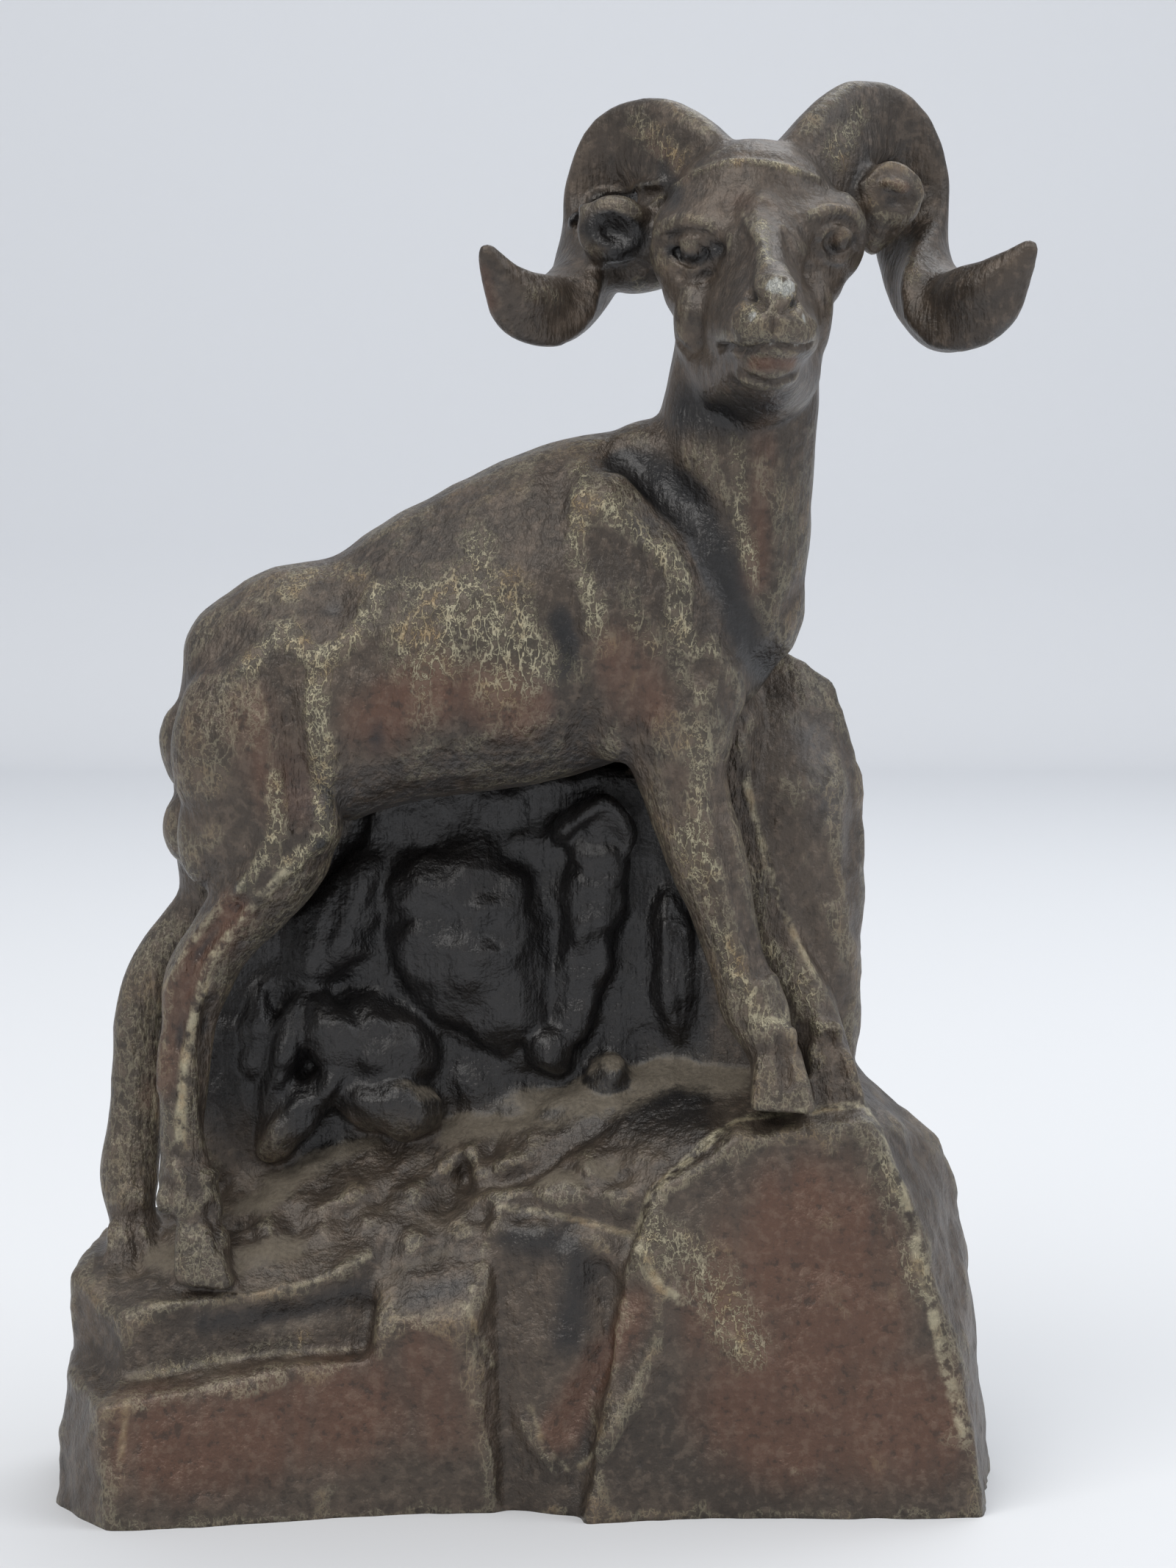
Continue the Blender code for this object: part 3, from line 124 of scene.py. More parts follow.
def add_loft(clay, rows, up=(0, 0, 1), steps=4, sides=20, narrow=0.0, keel=0.0):
    """A closed loft. A row is x, y, z, half width and half height of a ring across the path.

    The half height is measured along up. narrow pinches a ring's top. keel raises an edge along it,
    at an angle in degrees that a row's sixth number gives.
    """
    path = smooth_rows(rows, steps)
    centres = path[:, :3]
    sizes = np.maximum(path[:, 3:5], 0.2)
    along = unit(np.gradient(centres, axis=0))
    aside = unit(np.cross(along, np.array(up, float)))
    above = np.cross(aside, along)
    turns = np.linspace(0, 2 * np.pi, sides, endpoint=False)
    rings = []

    def add_ring(at, share, push):
        edge = 1
        if keel:
            off = np.degrees(np.abs((turns - np.radians(path[at, 5]) + np.pi) % (2 * np.pi) - np.pi))
            edge = 1 + keel * np.exp(-(off / 20) ** 2) - 0.35 * keel * np.exp(-((off - 58) / 26) ** 2)
        height = np.sin(turns) * edge
        across = np.cos(turns) * edge * (1 - narrow * height)
        centre = centres[at] + along[at] * push
        ring = (centre + aside[at] * (across * sizes[at, 0] * share)[:, None]
                + above[at] * (height * sizes[at, 1] * share)[:, None])
        rings.append([clay.verts.new(place) for place in ring])

    last = len(path) - 1
    for angle in (75, 50, 25):
        turn = np.radians(angle)
        add_ring(0, np.cos(turn), -np.sin(turn) * sizes[0].min())
    for at in range(len(path)):
        add_ring(at, 1, 0)
    for angle in (25, 50, 75):
        turn = np.radians(angle)
        add_ring(last, np.cos(turn), np.sin(turn) * sizes[last].min())
    made = []
    for ring, following in zip(rings, rings[1:]):
        for i in range(sides):
            j = (i + 1) % sides
            made.append(clay.faces.new((ring[i], ring[j], following[j], following[i])))
    made.append(clay.faces.new(rings[0][::-1]))
    made.append(clay.faces.new(rings[-1]))
    bmesh.ops.recalc_face_normals(clay, faces=made)


def add_tube(clay, rows, sides=10):
    """A round loft, with a radius as each row's fourth number."""
    add_loft(clay, [(x, y, z, radius, radius) for x, y, z, radius in rows], up=(0.2, 0.1, 1), sides=sides)


def add_ball(clay, centre, radii, lean=0.0, turn=0.0):
    """An ellipsoid, leant about Y and then turned about Z by degrees."""
    place = (
        Matrix.Translation(centre)
        @ Matrix.Rotation(np.radians(turn), 4, "Z")
        @ Matrix.Rotation(np.radians(lean), 4, "Y")
        @ Matrix.Diagonal((*radii, 1))
    )
    bmesh.ops.create_uvsphere(clay, u_segments=24, v_segments=16, radius=1, matrix=place)


def add_block(clay, points, shrink=0.0):
    """A block of rock: the convex hull of its corners, each face moved in by shrink."""
    verts = [clay.verts.new(corner) for corner in points]
    hull = bmesh.ops.convex_hull(clay, input=verts)
    spare = [v for v in hull["geom_interior"] if isinstance(v, bmesh.types.BMVert)]
    bmesh.ops.delete(clay, geom=spare, context="VERTS")
    if not shrink:
        return
    faces = [item for item in hull["geom"] if isinstance(item, bmesh.types.BMFace)]
    planes = [(face.calc_center_median(), face.normal.copy()) for face in faces]
    corners = {vert for face in faces for vert in face.verts}
    middle = sum((vert.co for vert in corners), Vector()) / len(corners)
    bmesh.ops.delete(clay, geom=list(corners), context="VERTS")
    core = bmesh.new()
    bmesh.ops.create_cube(core, size=300, matrix=Matrix.Translation(middle))
    for place, normal in planes:
        outward = normal if normal.dot(place - middle) > 0 else -normal
        everything = core.verts[:] + core.edges[:] + core.faces[:]
        sliced = bmesh.ops.bisect_plane(
            core, geom=everything, plane_co=place - outward * shrink, plane_no=outward, clear_outer=True
        )
        rim = [item for item in sliced["geom_cut"] if isinstance(item, bmesh.types.BMEdge)]
        if rim:
            bmesh.ops.holes_fill(core, edges=rim)
    bmesh.ops.recalc_face_normals(core, faces=core.faces[:])
    spare_mesh = bpy.data.meshes.new("core")
    core.to_mesh(spare_mesh)
    core.free()
    clay.from_mesh(spare_mesh)
    bpy.data.meshes.remove(spare_mesh)


def add_torso(clay, shrink=0):
    """The barrel of the body, or the hollow in it."""
    torso = np.array([(x, MIDDLE_Y, z, wide, high) for x, z, wide, high in (
        (-39.2, 84.5, 4.8, 6.6), (-35.4, 86.4, 9.2, 11.8), (-28.6, 90.5, 11.4, 15),
        (-20, 92.8, 12, 14.7), (-12, 95.7, 12.8, 16.6), (-3.6, 98.6, 13.2, 17.9),
        (4.7, 101.8, 12.8, 18.4), (11, 103.1, 12, 17.7), (17.5, 102.2, 10.4, 14),
        (22, 100.6, 7, 8.5),
    )])
    if shrink:
        torso = torso[1:-1]
    torso[:, 3:] -= shrink
    add_loft(clay, torso, narrow=0.16)


def add_haunches(clay):
    for side in (-1, 1):
        y = MIDDLE_Y + side * 5.8
        add_ball(clay, (-33, y, 86.2), (9.2, 6.4, 12), lean=12)
        add_ball(clay, (-27.4, y - side * 0.2, 94.6), (6, 5, 6))
        add_ball(clay, (-32.6, y + side * 0.5, 78.5), (7.6, 4.6, 9), lean=10)
        add_ball(clay, (-37.6, y - side * 1.2, 76.4), (4.2, 4, 7), lean=6)
        add_ball(clay, (-27.2, y + side * 1.6, 77.5), (4.2, 3.6, 5), lean=-20)
    add_ball(clay, (-40.6, MIDDLE_Y + 2, 76), (3.6, 4, 4.6), lean=6)


def add_shoulders(clay):
    for side in (-1, 1):
        y = MIDDLE_Y + side * 6.6
        add_ball(clay, (10, y, 98), (9.4, 5.8, 14.5), lean=14)
        add_ball(clay, (14.6, y, 88.5), (6.4, 5, 9.5), lean=4)
        add_ball(clay, (5.6, y + side * 0.6, 108.4), (6.4, 4.4, 9), lean=30)
        add_ball(clay, (17.6, y - side * 1, 96), (4.8, 4.6, 9), lean=-10)
    add_ball(clay, (11.5, MIDDLE_Y, 116.2), (7.5, 6.5, 6), lean=-20)


def add_neck(clay):
    neck = [
        (15.5, MIDDLE_Y, 99, 11, 11.5), (18.8, MIDDLE_Y, 108, 10, 10.8),
        (20.6, MIDDLE_Y - 0.6, 116.5, 9.2, 9.4), (21.7, MIDDLE_Y - 1.2, 124, 8.8, 8.8),
        (22.4, MIDDLE_Y - 1.6, 131, 8.6, 8.2), (22.6, MIDDLE_Y - 1, 138.5, 8, 8.6),
    ]
    add_loft(clay, neck, up=(1, 0, 0))


def add_head(clay):
    skull = [
        (22.6, 3, 143.5, 6, 6), (22.8, -2.5, 144.3, 10, 8.4), (23.1, -7, 143, 10.2, 7.6),
        (23.3, -11, 141.2, 8.4, 5.6), (23.4, -13.6, 140, 5.4, 4.4),
    ]
    add_loft(clay, skull, sides=24)
    muzzle = [
        (23, -7, 135.5, 7.2, 9), (23.2, -12, 135, 6.4, 8.6), (23.5, -17, 134, 5.6, 7.6),
        (23.8, -21.5, 132.9, 5.1, 6.2), (24, -25.4, 132, 4.8, 5), (24.1, -27.4, 131.8, 4.2, 4),
    ]
    add_loft(clay, muzzle, sides=24, narrow=0.42)
    bridge = [
        (23.2, -8, 147.6, 5, 3), (23.4, -13.6, 144, 2.7, 2.3), (23.7, -19, 140.6, 1.9, 1.9),
        (23.9, -24, 137.6, 1.9, 1.7), (24.1, -28, 135.6, 2.3, 1.5),
    ]
    add_loft(clay, bridge, sides=16)
    jaw = [
        (23.6, -24.6, 128, 3.2, 2.2), (23.4, -21, 127.4, 4.4, 3.2), (23.2, -16, 126.8, 5.8, 4.8),
        (23, -11.5, 127.2, 7.2, 6.2), (22.6, -6, 129.5, 8.2, 7),
    ]
    add_loft(clay, jaw, sides=20)
    add_ball(clay, (22.9, -4.5, 147), (8.6, 8.5, 6.4))
    for side, rise in ((-1, 0), (1, 1.1)):
        x = 23.4 + side * 8.6
        add_ball(clay, (x + side * 0.6, -6.4, 141.4 + rise), (2.8, 4, 5), turn=side * -20)
        add_ball(clay, (22.8 + side * 5.8, -7, 133.4 + rise), (3, 5.6, 6.6), turn=side * 12)
        add_ball(clay, (22.9 + side * 7.8, -5.6, 137.8 + rise), (2.5, 4.4, 4.4))
        brow = [
            (23.5 + side * 11.2, -7.2, 142.8 + rise, 1, 0.9),
            (23.4 + side * 9, -10.4, 143.8 + rise, 1.1, 0.9),
            (23.4 + side * 6.2, -12.5, 143.5 + rise, 1.1, 0.9),
            (23.5 + side * 3.6, -13.9, 142.0 + rise, 1, 1),
        ]
        add_loft(clay, brow, sides=12)
        add_ball(clay, (24.2 + side * 2.6, -27.4, 131.9 - side * 0.3), (2.1, 2, 1.9))
    add_ball(clay, (24.4, -28.6, 135.3), (2.3, 1.8, 1.6))
    add_ball(clay, (24.1, -26.9, 130.2), (3.3, 2.1, 1.2))
    add_ball(clay, (23.8, -26.2, 127.7), (3, 2.3, 1.4))
    add_ball(clay, (23.6, -24.4, 126.6), (3.6, 3.2, 2))


def add_ears(clay):
    add_ball(clay, (7.3, -1.2, 143.6), (4.3, 3, 4), lean=-10, turn=-18)
    add_ball(clay, (12, 0.2, 142.8), (4, 3, 3.4))
    add_ball(clay, (11, 3.6, 139.8), (5.5, 4, 3), lean=-10)
    add_ball(clay, (38.6, -0.4, 147.4), (3.9, 2.8, 4), lean=16, turn=20)
    hanging = [(38.2, 0, 147, 3.4, 2.4), (37.4, 0.4, 143.8, 2.6, 2), (36.7, 0.6, 141.6, 1, 1)]
    add_loft(clay, hanging, up=(0, -1, 0), sides=16)
    add_ball(clay, (34.4, 1.5, 146.4), (3.6, 3.6, 4.6))
    add_ball(clay, (13.4, 2, 146.6), (3.4, 3, 4.4))


# Horns: x, y, z, half width, half height and the angle of the keel, from the skull to the tip
LEFT_HORN = [
    (20.1, -1, 147, 5.2, 5.2, 70), (16.6, 1.5, 150.6, 5.2, 4.9, 66), (12.6, 6, 153, 4.9, 4.6, 58),
    (8.8, 10, 152.2, 4.7, 4.5, 50), (6.4, 12, 147.8, 4.5, 4.4, 50), (5.1, 10.5, 142.4, 4.2, 4.1, 60),
    (3.6, 5.5, 137.6, 3.8, 4, 90), (0.6, -1, 134.2, 3.9, 4.2, 130), (-2.6, -6.6, 134.8, 3.5, 3.6, 165),
    (-5, -10, 137.4, 2, 2.1, 180), (-6.6, -12, 140, 1, 1, 180),
]
RIGHT_HORN = [
    (27.6, -1, 147.2, 5.2, 5.2, 110), (31, 1.5, 151.8, 5.2, 4.9, 114), (34.8, 6, 154.8, 4.9, 4.8, 122),
    (39, 10, 154, 4.6, 4.6, 130), (41.6, 12, 149.2, 4.5, 4.4, 130), (42.3, 10.5, 142.6, 4.2, 4.2, 120),
    (43.2, 5.5, 137.4, 4.2, 4.4, 90), (45.4, -1.5, 134, 4.5, 4.6, 50), (48.6, -7, 135.6, 3.8, 3.7, 15),
    (51.2, -10.2, 138.4, 2.1, 2.1, 0), (53, -12, 140.4, 1, 1, 0),
]


def add_horns(clay):
    for horn in (LEFT_HORN, RIGHT_HORN):
        rows = [(x, y, z + 0.3, 1.06 * wide, 1.06 * high, edge) for x, y, z, wide, high, edge in horn]
        add_loft(clay, rows, up=(0, -1, 0.2), sides=40, keel=0.32)


# Legs: x, y, z and radius from the body down to the hoof
NEAR_HIND = [
    (-31.5, -8.6, 81, 6.6), (-29.4, -9.2, 75, 5.8), (-32.4, -8.8, 69.4, 4.9),
    (-36.6, -8, 64, 3.9), (-39.6, -7.4, 59, 3.9), (-40.6, -7.6, 54, 3.1),
    (-41.2, -8.2, 46.5, 2.8), (-41.2, -8.8, 39.5, 2.7), (-40.6, -9.4, 36, 3.4),
    (-39.2, -10.4, 32.6, 2.8), (-38.2, -11.2, 29.6, 2.6),
]
FAR_HIND = [
    (-36.6, 1.6, 82, 6.8), (-37.6, 2.4, 72, 5.6), (-39.6, 2.8, 66, 3.9),
    (-44.2, 2.8, 60.8, 3.4), (-47.2, 2.2, 54.6, 3), (-47.8, 1.2, 43, 3.1),
    (-48.5, 0.2, 36, 3.5), (-48.2, -1, 31.8, 2.9), (-47.4, -2.2, 28, 2.7),
]
NEAR_FORE = [
    (13.6, -8.6, 89, 6.4), (15.4, -8.8, 80.5, 4.9), (17.8, -9.4, 73, 4.5),
    (19.6, -9.2, 67, 3.7), (21.4, -9.4, 60.6, 3.2), (23.2, -10, 56.2, 3.8),
    (24.8, -11, 52.4, 3), (26, -11.8, 49.4, 2.8),
]
FAR_FORE = [
    (19, 2, 87, 6), (21.4, 1.6, 76.5, 4.4), (23.4, 1, 70.7, 4.2),
    (25.9, 0, 62.4, 3.3), (29, -1.6, 56, 3.6), (31, -3.2, 52, 2.9),
    (32, -4.2, 49.4, 2.7),
]
# Hooves: the corners of each
HOOVES = [
    [(-41.8, -13.6, 32), (-37.2, -14, 31.4), (-41.4, -8.4, 32.6), (-37, -8.6, 32.2),
     (-41.6, -15.6, 25.6), (-35, -16.4, 25.2), (-41.8, -8, 25.8), (-34.8, -8.8, 25.4)],
    [(-50.6, -4.6, 30.6), (-45.8, -5.2, 30.2), (-50.2, 1, 31), (-45.8, 0.6, 30.6),
     (-50.6, -7.8, 22.6), (-44, -8.4, 22.2), (-50.8, 0, 22.6), (-44.2, 0, 22.4)],
    [(23.2, -14.4, 51.6), (28.4, -14.8, 51), (23, -8.6, 52.4), (28.2, -8.8, 52),
     (22.4, -16, 45.4), (30, -16.8, 45), (22.6, -8, 45.6), (29.8, -8.4, 45.4)],
    [(29.4, -7.2, 51.4), (34.4, -7.4, 50.6), (29.2, -1, 52), (34, -1.4, 51.6),
     (29.2, -8.8, 45.4), (36, -9.4, 45), (29.2, -0.6, 45.6), (35.6, -1, 45.4)],
]
# Tufts over the hooves: x, y, z and radius
TUFTS = [
    (23.4, -13.2, 53.6, 1.2), (25.2, -13.8, 53.4, 1.2), (27, -13.6, 53.2, 1.1),
    (30.6, -6.2, 53.2, 1), (32.6, -6.4, 52.8, 1.1),
    (-43.2, -11.6, 34.6, 1.2), (-41, -12.4, 34, 1.2), (-38.8, -12.4, 34.2, 1.1),
    (-50.6, -1, 33.8, 1.2), (-48.8, -3.2, 33, 1.1), (-46.8, -3.4, 33.2, 1),
]


def add_legs(clay):
    for leg in (NEAR_HIND, FAR_HIND, NEAR_FORE, FAR_FORE):
        rows = [(x, y, z, radius, radius) for x, y, z, radius in leg]
        add_loft(clay, rows, up=(1, 0, 0), sides=16)
    for hoof in HOOVES:
        add_block(clay, hoof)
    for x, y, z, radius in TUFTS:
        add_ball(clay, (x, y, z), (radius * 0.8, radius, radius * 1.5))


def add_foot_rocks(clay, shrink=0, low=-2):
    """The rocks that the ram stands on, down to just below the foot, or the hollow in them."""
    left_step = [
        (-49.4, -21, 13.3), (-37.2, -19.4, 14.9), (-27.9, -16.8, 17.2), (-18.5, -15.6, 17.6),
        (-54.8, -9, 15.5), (-55, 9, 17), (-46, 20, 18), (-10, 18, 20),
        (-8, -10, 18), (-55.6, -12, low), (-48.2, -23.4, low), (-36.8, -20.2, low),
        (-25, -17, low), (-8, -15, low), (-6, 20, low), (-47.5, 22, low),
        (-55.6, 10, low),
    ]
    upper_ledge = [
        (-47.4, -15, 22), (-40.7, -14.6, 22.6), (-32.6, -13.8, 23.7), (-22, -12, 26.8),
        (-54.6, -6, 25.2), (-52, 3, 28.4), (-36, 2, 32.4), (-22, 3, 39.6),
        (-10, 4, 42.6), (-2, 4, 44.6), (-50, 14, 22), (-10, 15, 34),
        (-54.3, -8, 10), (-47.4, -16, 10), (-20, -13, 10), (-50, 17, 10),
        (0, 17, 10), (0, -8, 10),
    ]
    front_block = [
        (-19.2, -16, 20.6), (-8.9, -17.2, 22.8), (-6.4, -14.2, 27.8), (-8, -9, 33.4),
        (-19.8, -10.5, 27.8), (-6, -2, 36), (-18, -2, 33), (-19.6, -16.2, low),
        (-5.4, -15.6, low), (-4, 0, low), (-20, 0, low),
    ]
    dark_face = [
        (-6.8, -12.2, 32.6), (9.9, -14.6, 30.2), (10, -4, 40), (-6, -2, 40),
        (-5.4, -14.4, low), (4.6, -17.6, low), (10, -16, low), (10, 5, low),
        (-6, 5, low),
    ]
    right_block = [
        (21.3, -15, 42.5), (36.1, -13.2, 43.8), (11.7, -15.6, 36.1), (9.4, -16.6, 29.5),
        (13.3, -17.8, 23.9), (41, -14.2, 33.6), (44.6, -15, 19.4), (47.2, -16, 12),
        (35.4, 4, 47.8), (20, 2, 48.6), (45.6, 4, 39), (47.8, 4, 32.6),
        (49.8, 3, 16), (48.6, -18, low), (13.4, -18.2, low), (51.8, 4, low),
        (44, 19, low), (10, 21, low), (42, 14, 30), (14, 16, 36),
        (34, 11, 44), (16, 9, 46),
    ]
    front_wedge = [
        (9, -16.4, 29.4), (13, -17.8, 24.4), (3.8, -20.4, low), (14, -18.4, low),
        (2, -12, low), (8, -10, 24), (14, -8, low),
    ]
    mound = [
        (-8, -9.6, 33.4), (9, -14, 31.4), (12.4, -14.6, 36.6), (20.8, -13.6, 42.2),
        (20, 2, 49), (12, 3, 48.8), (0, 3, 46), (-10, 3, 42.6),
        (-6, -8, 20), (20, -8, 20), (20, 14, 38), (-10, 14, 34),
        (20, 16, 20), (-10, 16, 20),
    ]
    back_rock = [
        (-44, 16, 20), (-30, 18.5, 26), (-6, 18, 33), (20, 19, 30),
        (36, 16, 36), (-44, 21, low), (-18, 20, low), (12, 21.4, low),
        (42, 18, low), (-30, 8, 30), (30, 8, 42), (-40, 8, low),
        (40, 8, low),
    ]
    hollowed = (left_step, upper_ledge, right_block, mound)
    plain = (front_block, dark_face, front_wedge, back_rock)
    for block in hollowed + (() if shrink else plain):
        add_block(clay, block, shrink)


def add_wall_rocks(clay, shrink=0):
    """The rock that fills the space under the belly and stands behind the forelegs."""
    side_fill = [
        (-44, 1, 22), (-42.5, 0.5, 40), (-40.5, 1, 57), (-33, 2, 73),
        (-24, 2.4, 79), (-14, 3, 79), (-14, 3, 30), (-42, 8, 24),
        (-40, 8, 56), (-24, 11, 76), (-16, SLOT_FACE_Y, 60),
        (-20, SLOT_FACE_Y, 30),
    ]
    fill = [
        (-34, 3, 30), (-27, 2.4, 42), (-22, 2.6, 62), (-20, 1, 79),
        (-14, SLOT_FACE_Y, 80), (-28, SLOT_FACE_Y, 40), (-38, 9, 22),
        (20, 2.6, 82), (22, SLOT_FACE_Y, 82), (26, 2, 44), (28, SLOT_FACE_Y, 42),
        (-12, 8, 88), (20, 8, 90),
        (30, 15, 30), (-30, 16, 28), (-30, 3, 24), (28, 3, 24),
    ]
    boulder = [
        (20, 4, 97), (27.8, 4.4, 96), (32.8, 6, 92), (36.4, 6, 82),
        (36.9, 6, 68), (36, 4, 53), (35.6, 2, 46), (26.9, -2.8, 79.6),
        (33.2, -0.6, 80.4), (20, -0.6, 82), (24, -1.6, 48), (33.2, -0.4, 56),
        (18, SLOT_FACE_Y, 84), (30, SLOT_FACE_Y - 1, 84), (34, 11, 66),
        (35, 12, 46), (16, SLOT_FACE_Y, 42), (16, 1, 42), (27, 10, 94),
        (19, 10, 96),
    ]
    for block in (fill, boulder):
        add_block(clay, block, shrink)
    if shrink:
        passage = [
            (x, y, z) for x in (-8, 12)
            for y, z in ((5.8, 74), (9.4, 74), (5.8, 82), (9.4, 80), (0, 90),
                         (7.6, 86), (0, 96), (5, 96))
        ]
        add_block(clay, passage)
        return
    add_block(clay, side_fill)
    for centre, radii, lean in RECESS_ROCKS:
        add_ball(clay, centre, radii, lean)
    pillar = [(2.2, 2, 52, 2.4), (4.2, 1, 60, 3), (5.4, 0.6, 68, 3.5), (6, 0.6, 74.6, 3.4)]
    add_tube(clay, pillar)
    bridge = [(0.8, 1, 75.2, 1.2), (3.4, -1.6, 77.4, 1.5), (6.6, -2, 77.6, 1.6), (9, -0.6, 74.4, 1.4)]
    add_tube(clay, bridge)


# Boulders in the recess: centre, radii and lean in degrees
RECESS_ROCKS = [
    ((-9.2, 3.2, 62.8), (9.8, 7, 11.4), -8), ((-4.6, 2.6, 55.6), (4.6, 5, 7), 20),
    ((-13.6, 2.4, 68), (5.4, 5.6, 5.4), 0), ((14.4, 2.6, 59.6), (2.7, 4.4, 9.8), -6),
    ((-24.6, 2.8, 64.4), (4.6, 4.4, 10.4), 31), ((-21.4, 2, 51), (9.4, 5.8, 5.2), 20),
    ((-33.9, 2.6, 51.8), (2.1, 3.8, 7), 5), ((-30.6, 1.6, 49.8), (1.9, 4.2, 8.4), 15),
    ((-29.8, 0.4, 41.8), (2.6, 4.2, 6), 35), ((-18.2, 0.2, 43.6), (6.4, 4.6, 3.8), 12),
    ((-25.6, 1.4, 45.6), (2, 4.4, 5), 40), ((6.6, 0.2, 47), (2.6, 3.2, 2.4), 0),
    ((0.4, 1.2, 49.6), (3, 3.6, 3), -20),
]


def new_object(name, clay, folder):
    """A mesh object from a bmesh in millimetres."""
    mesh = bpy.data.meshes.new(name)
    clay.to_mesh(mesh)
    clay.free()
    made = bpy.data.objects.new(name, mesh)
    folder.objects.link(made)
    return made


def bake(made):
    """Apply the modifiers, by taking the mesh as they leave it."""
    bpy.context.view_layer.update()
    depsgraph = bpy.context.evaluated_depsgraph_get()
    mesh = bpy.data.meshes.new_from_object(made.evaluated_get(depsgraph))
    made.modifiers.clear()
    old = made.data
    made.data = mesh
    bpy.data.meshes.remove(old)


def remesh(made, grain):
    """Blend all that overlaps, on voxels."""
    blend = made.modifiers.new("Blend", "REMESH")
    blend.mode = "VOXEL"
    blend.voxel_size = grain
    bake(made)


def places_of(made):
    places = np.empty(len(made.data.vertices) * 3)
    made.data.vertices.foreach_get("co", places)
    return places.reshape(-1, 3)


def normals_of(made):
    normals = np.empty(len(made.data.vertices) * 3)
    made.data.vertices.foreach_get("normal", normals)
    return normals.reshape(-1, 3)


def put_places(made, places):
    made.data.vertices.foreach_set("co", places.ravel())
    made.data.update()


def edges_of(made):
    ends = np.empty(len(made.data.edges) * 2, int)
    made.data.edges.foreach_get("vertices", ends)
    return ends.reshape(-1, 2).T


def around(values, tail, head, count):
    """The mean of each vertex's neighbours."""
    degree = np.bincount(tail, minlength=count) + np.bincount(head, minlength=count)
    total = np.stack([
        np.bincount(tail, values[head, axis], count) + np.bincount(head, values[tail, axis], count)
        for axis in range(values.shape[1])
    ], axis=1)
    return total / np.maximum(degree, 1)[:, None]


def relax(made, rounds, keep=0.97, where=None):
    """Smooth the mesh, and push it back out after each round so that it keeps its girth."""
    tail, head = edges_of(made)
    places = places_of(made)
    share = 1 if where is None else where[:, None]
    for turn in range(2 * rounds):
        step = 0.6 if turn % 2 == 0 else -0.6 * keep
        places += share * step * (around(places, tail, head, len(places)) - places)
    put_places(made, places)


def tree_of(made):
    """The mesh as a tree that rays and distances can be asked of."""
    return BVHTree.FromPolygons(
        [tuple(place) for place in places_of(made)], [tuple(face.vertices) for face in made.data.polygons]
    )


def seen(tree, points, eye=EYE):
    """Where the lines of sight from the eye through points on the plane y = 0 meet the casting."""
    found = []
    start = Vector(eye)
    for x, z in points:
        aim = (Vector((x, 0, z)) - start).normalized()
        hit = tree.ray_cast(start, aim)[0]
        if hit is not None:
            found.append(hit)
    return np.array(found)


def nearness(places, path, width):
    """1 on the path and 0 a width away from it, for each place."""
    path = np.atleast_2d(path)
    best = np.full(len(places), np.inf)
    low = path.min(0) - width
    high = path.max(0) + width
    close = np.flatnonzero(((places > low) & (places < high)).all(1))
    spots = places[close]
    starts = path[:-1] if len(path) > 1 else path
    ends = path[1:] if len(path) > 1 else path
    for start, end in zip(starts, ends):
        run = end - start
        share = np.clip((spots - start) @ run / max(run @ run, 1e-9), 0, 1)
        gap = np.linalg.norm(spots - start - share[:, None] * run, axis=1)
        best[close] = np.minimum(best[close], gap)
    fall = np.clip(1 - best / width, 0, 1)
    return fall * fall * (3 - 2 * fall)


def carve(made, lines, eye=EYE):
    """Raise or sink the surface along lines drawn on it."""
    places = places_of(made)
    normals = normals_of(made)
    tree = tree_of(made)
    for width, height, points in lines:
        path = seen(tree, smooth_rows(points, 4) if len(points) > 1 else points, eye)
        if len(path):
            places += normals * (height * nearness(places, path, width))[:, None]
    put_places(made, places)


# Paths, in the plane y = 0, that are both carved and worn
HIP_RING = [(-34.8, 94.3), (-30.2, 98), (-27.6, 95.6), (-23.9, 96.2), (-21.2, 99.1), (-19.6, 102.9)]
THIGH_RIDGE = [(-26, 94.8), (-26.8, 90), (-26, 81.9), (-26, 74.4)]
BLADE_EDGE = [(3.5, 116.6), (3.3, 111.3), (3, 107), (4.7, 102.9), (5.5, 100.3), (5.2, 98.8)]

# Carved lines: width, height (a groove is negative) and points in the plane y = 0
BODY_LINES = [
    (2.6, 0.35, HIP_RING),
    (3, 0.5, THIGH_RIDGE),
    (2.4, 0.4, [(-34.8, 94.3), (-33.6, 89.5), (-31.9, 83.6), (-31.4, 74.9), (-35, 69.2)]),
    (4.2, -0.45, [(-24.8, 101.2)]),
    (5.6, -0.4, [(-20.6, 94), (-19.4, 87), (-20.4, 81)]),
    (3.4, -0.35, [(-30.2, 92), (-29.4, 86), (-28.6, 79)]),
    (5.6, -0.4, [(-36, 102), (-38.6, 95)]),
    (2.6, 0.4, BLADE_EDGE),
    (2.8, 0.45, [(6.9, 112.6), (10.6, 108.8), (14.8, 105.4), (14.9, 100.4), (16.5, 96.2), (18.5, 95.8),
                 (17.7, 89.1)]),
    (4.6, -1.5, [(8.9, 117.7), (15.8, 113), (19.5, 106.5), (21.7, 99.1), (25, 93.6)]),
    (2.2, -0.5, [(20.2, 123), (21.4, 116.3), (24, 109.6), (24.8, 102.9)]),
    (4.4, -0.6, [(1, 100), (2.6, 94), (3.4, 86)]),
    (1.6, 0.4, [(4, 93.2), (2.7, 89.5), (1.3, 85.3)]),
    (3.4, -0.4, [(9, 112), (10.5, 103), (12.5, 94)]),
]
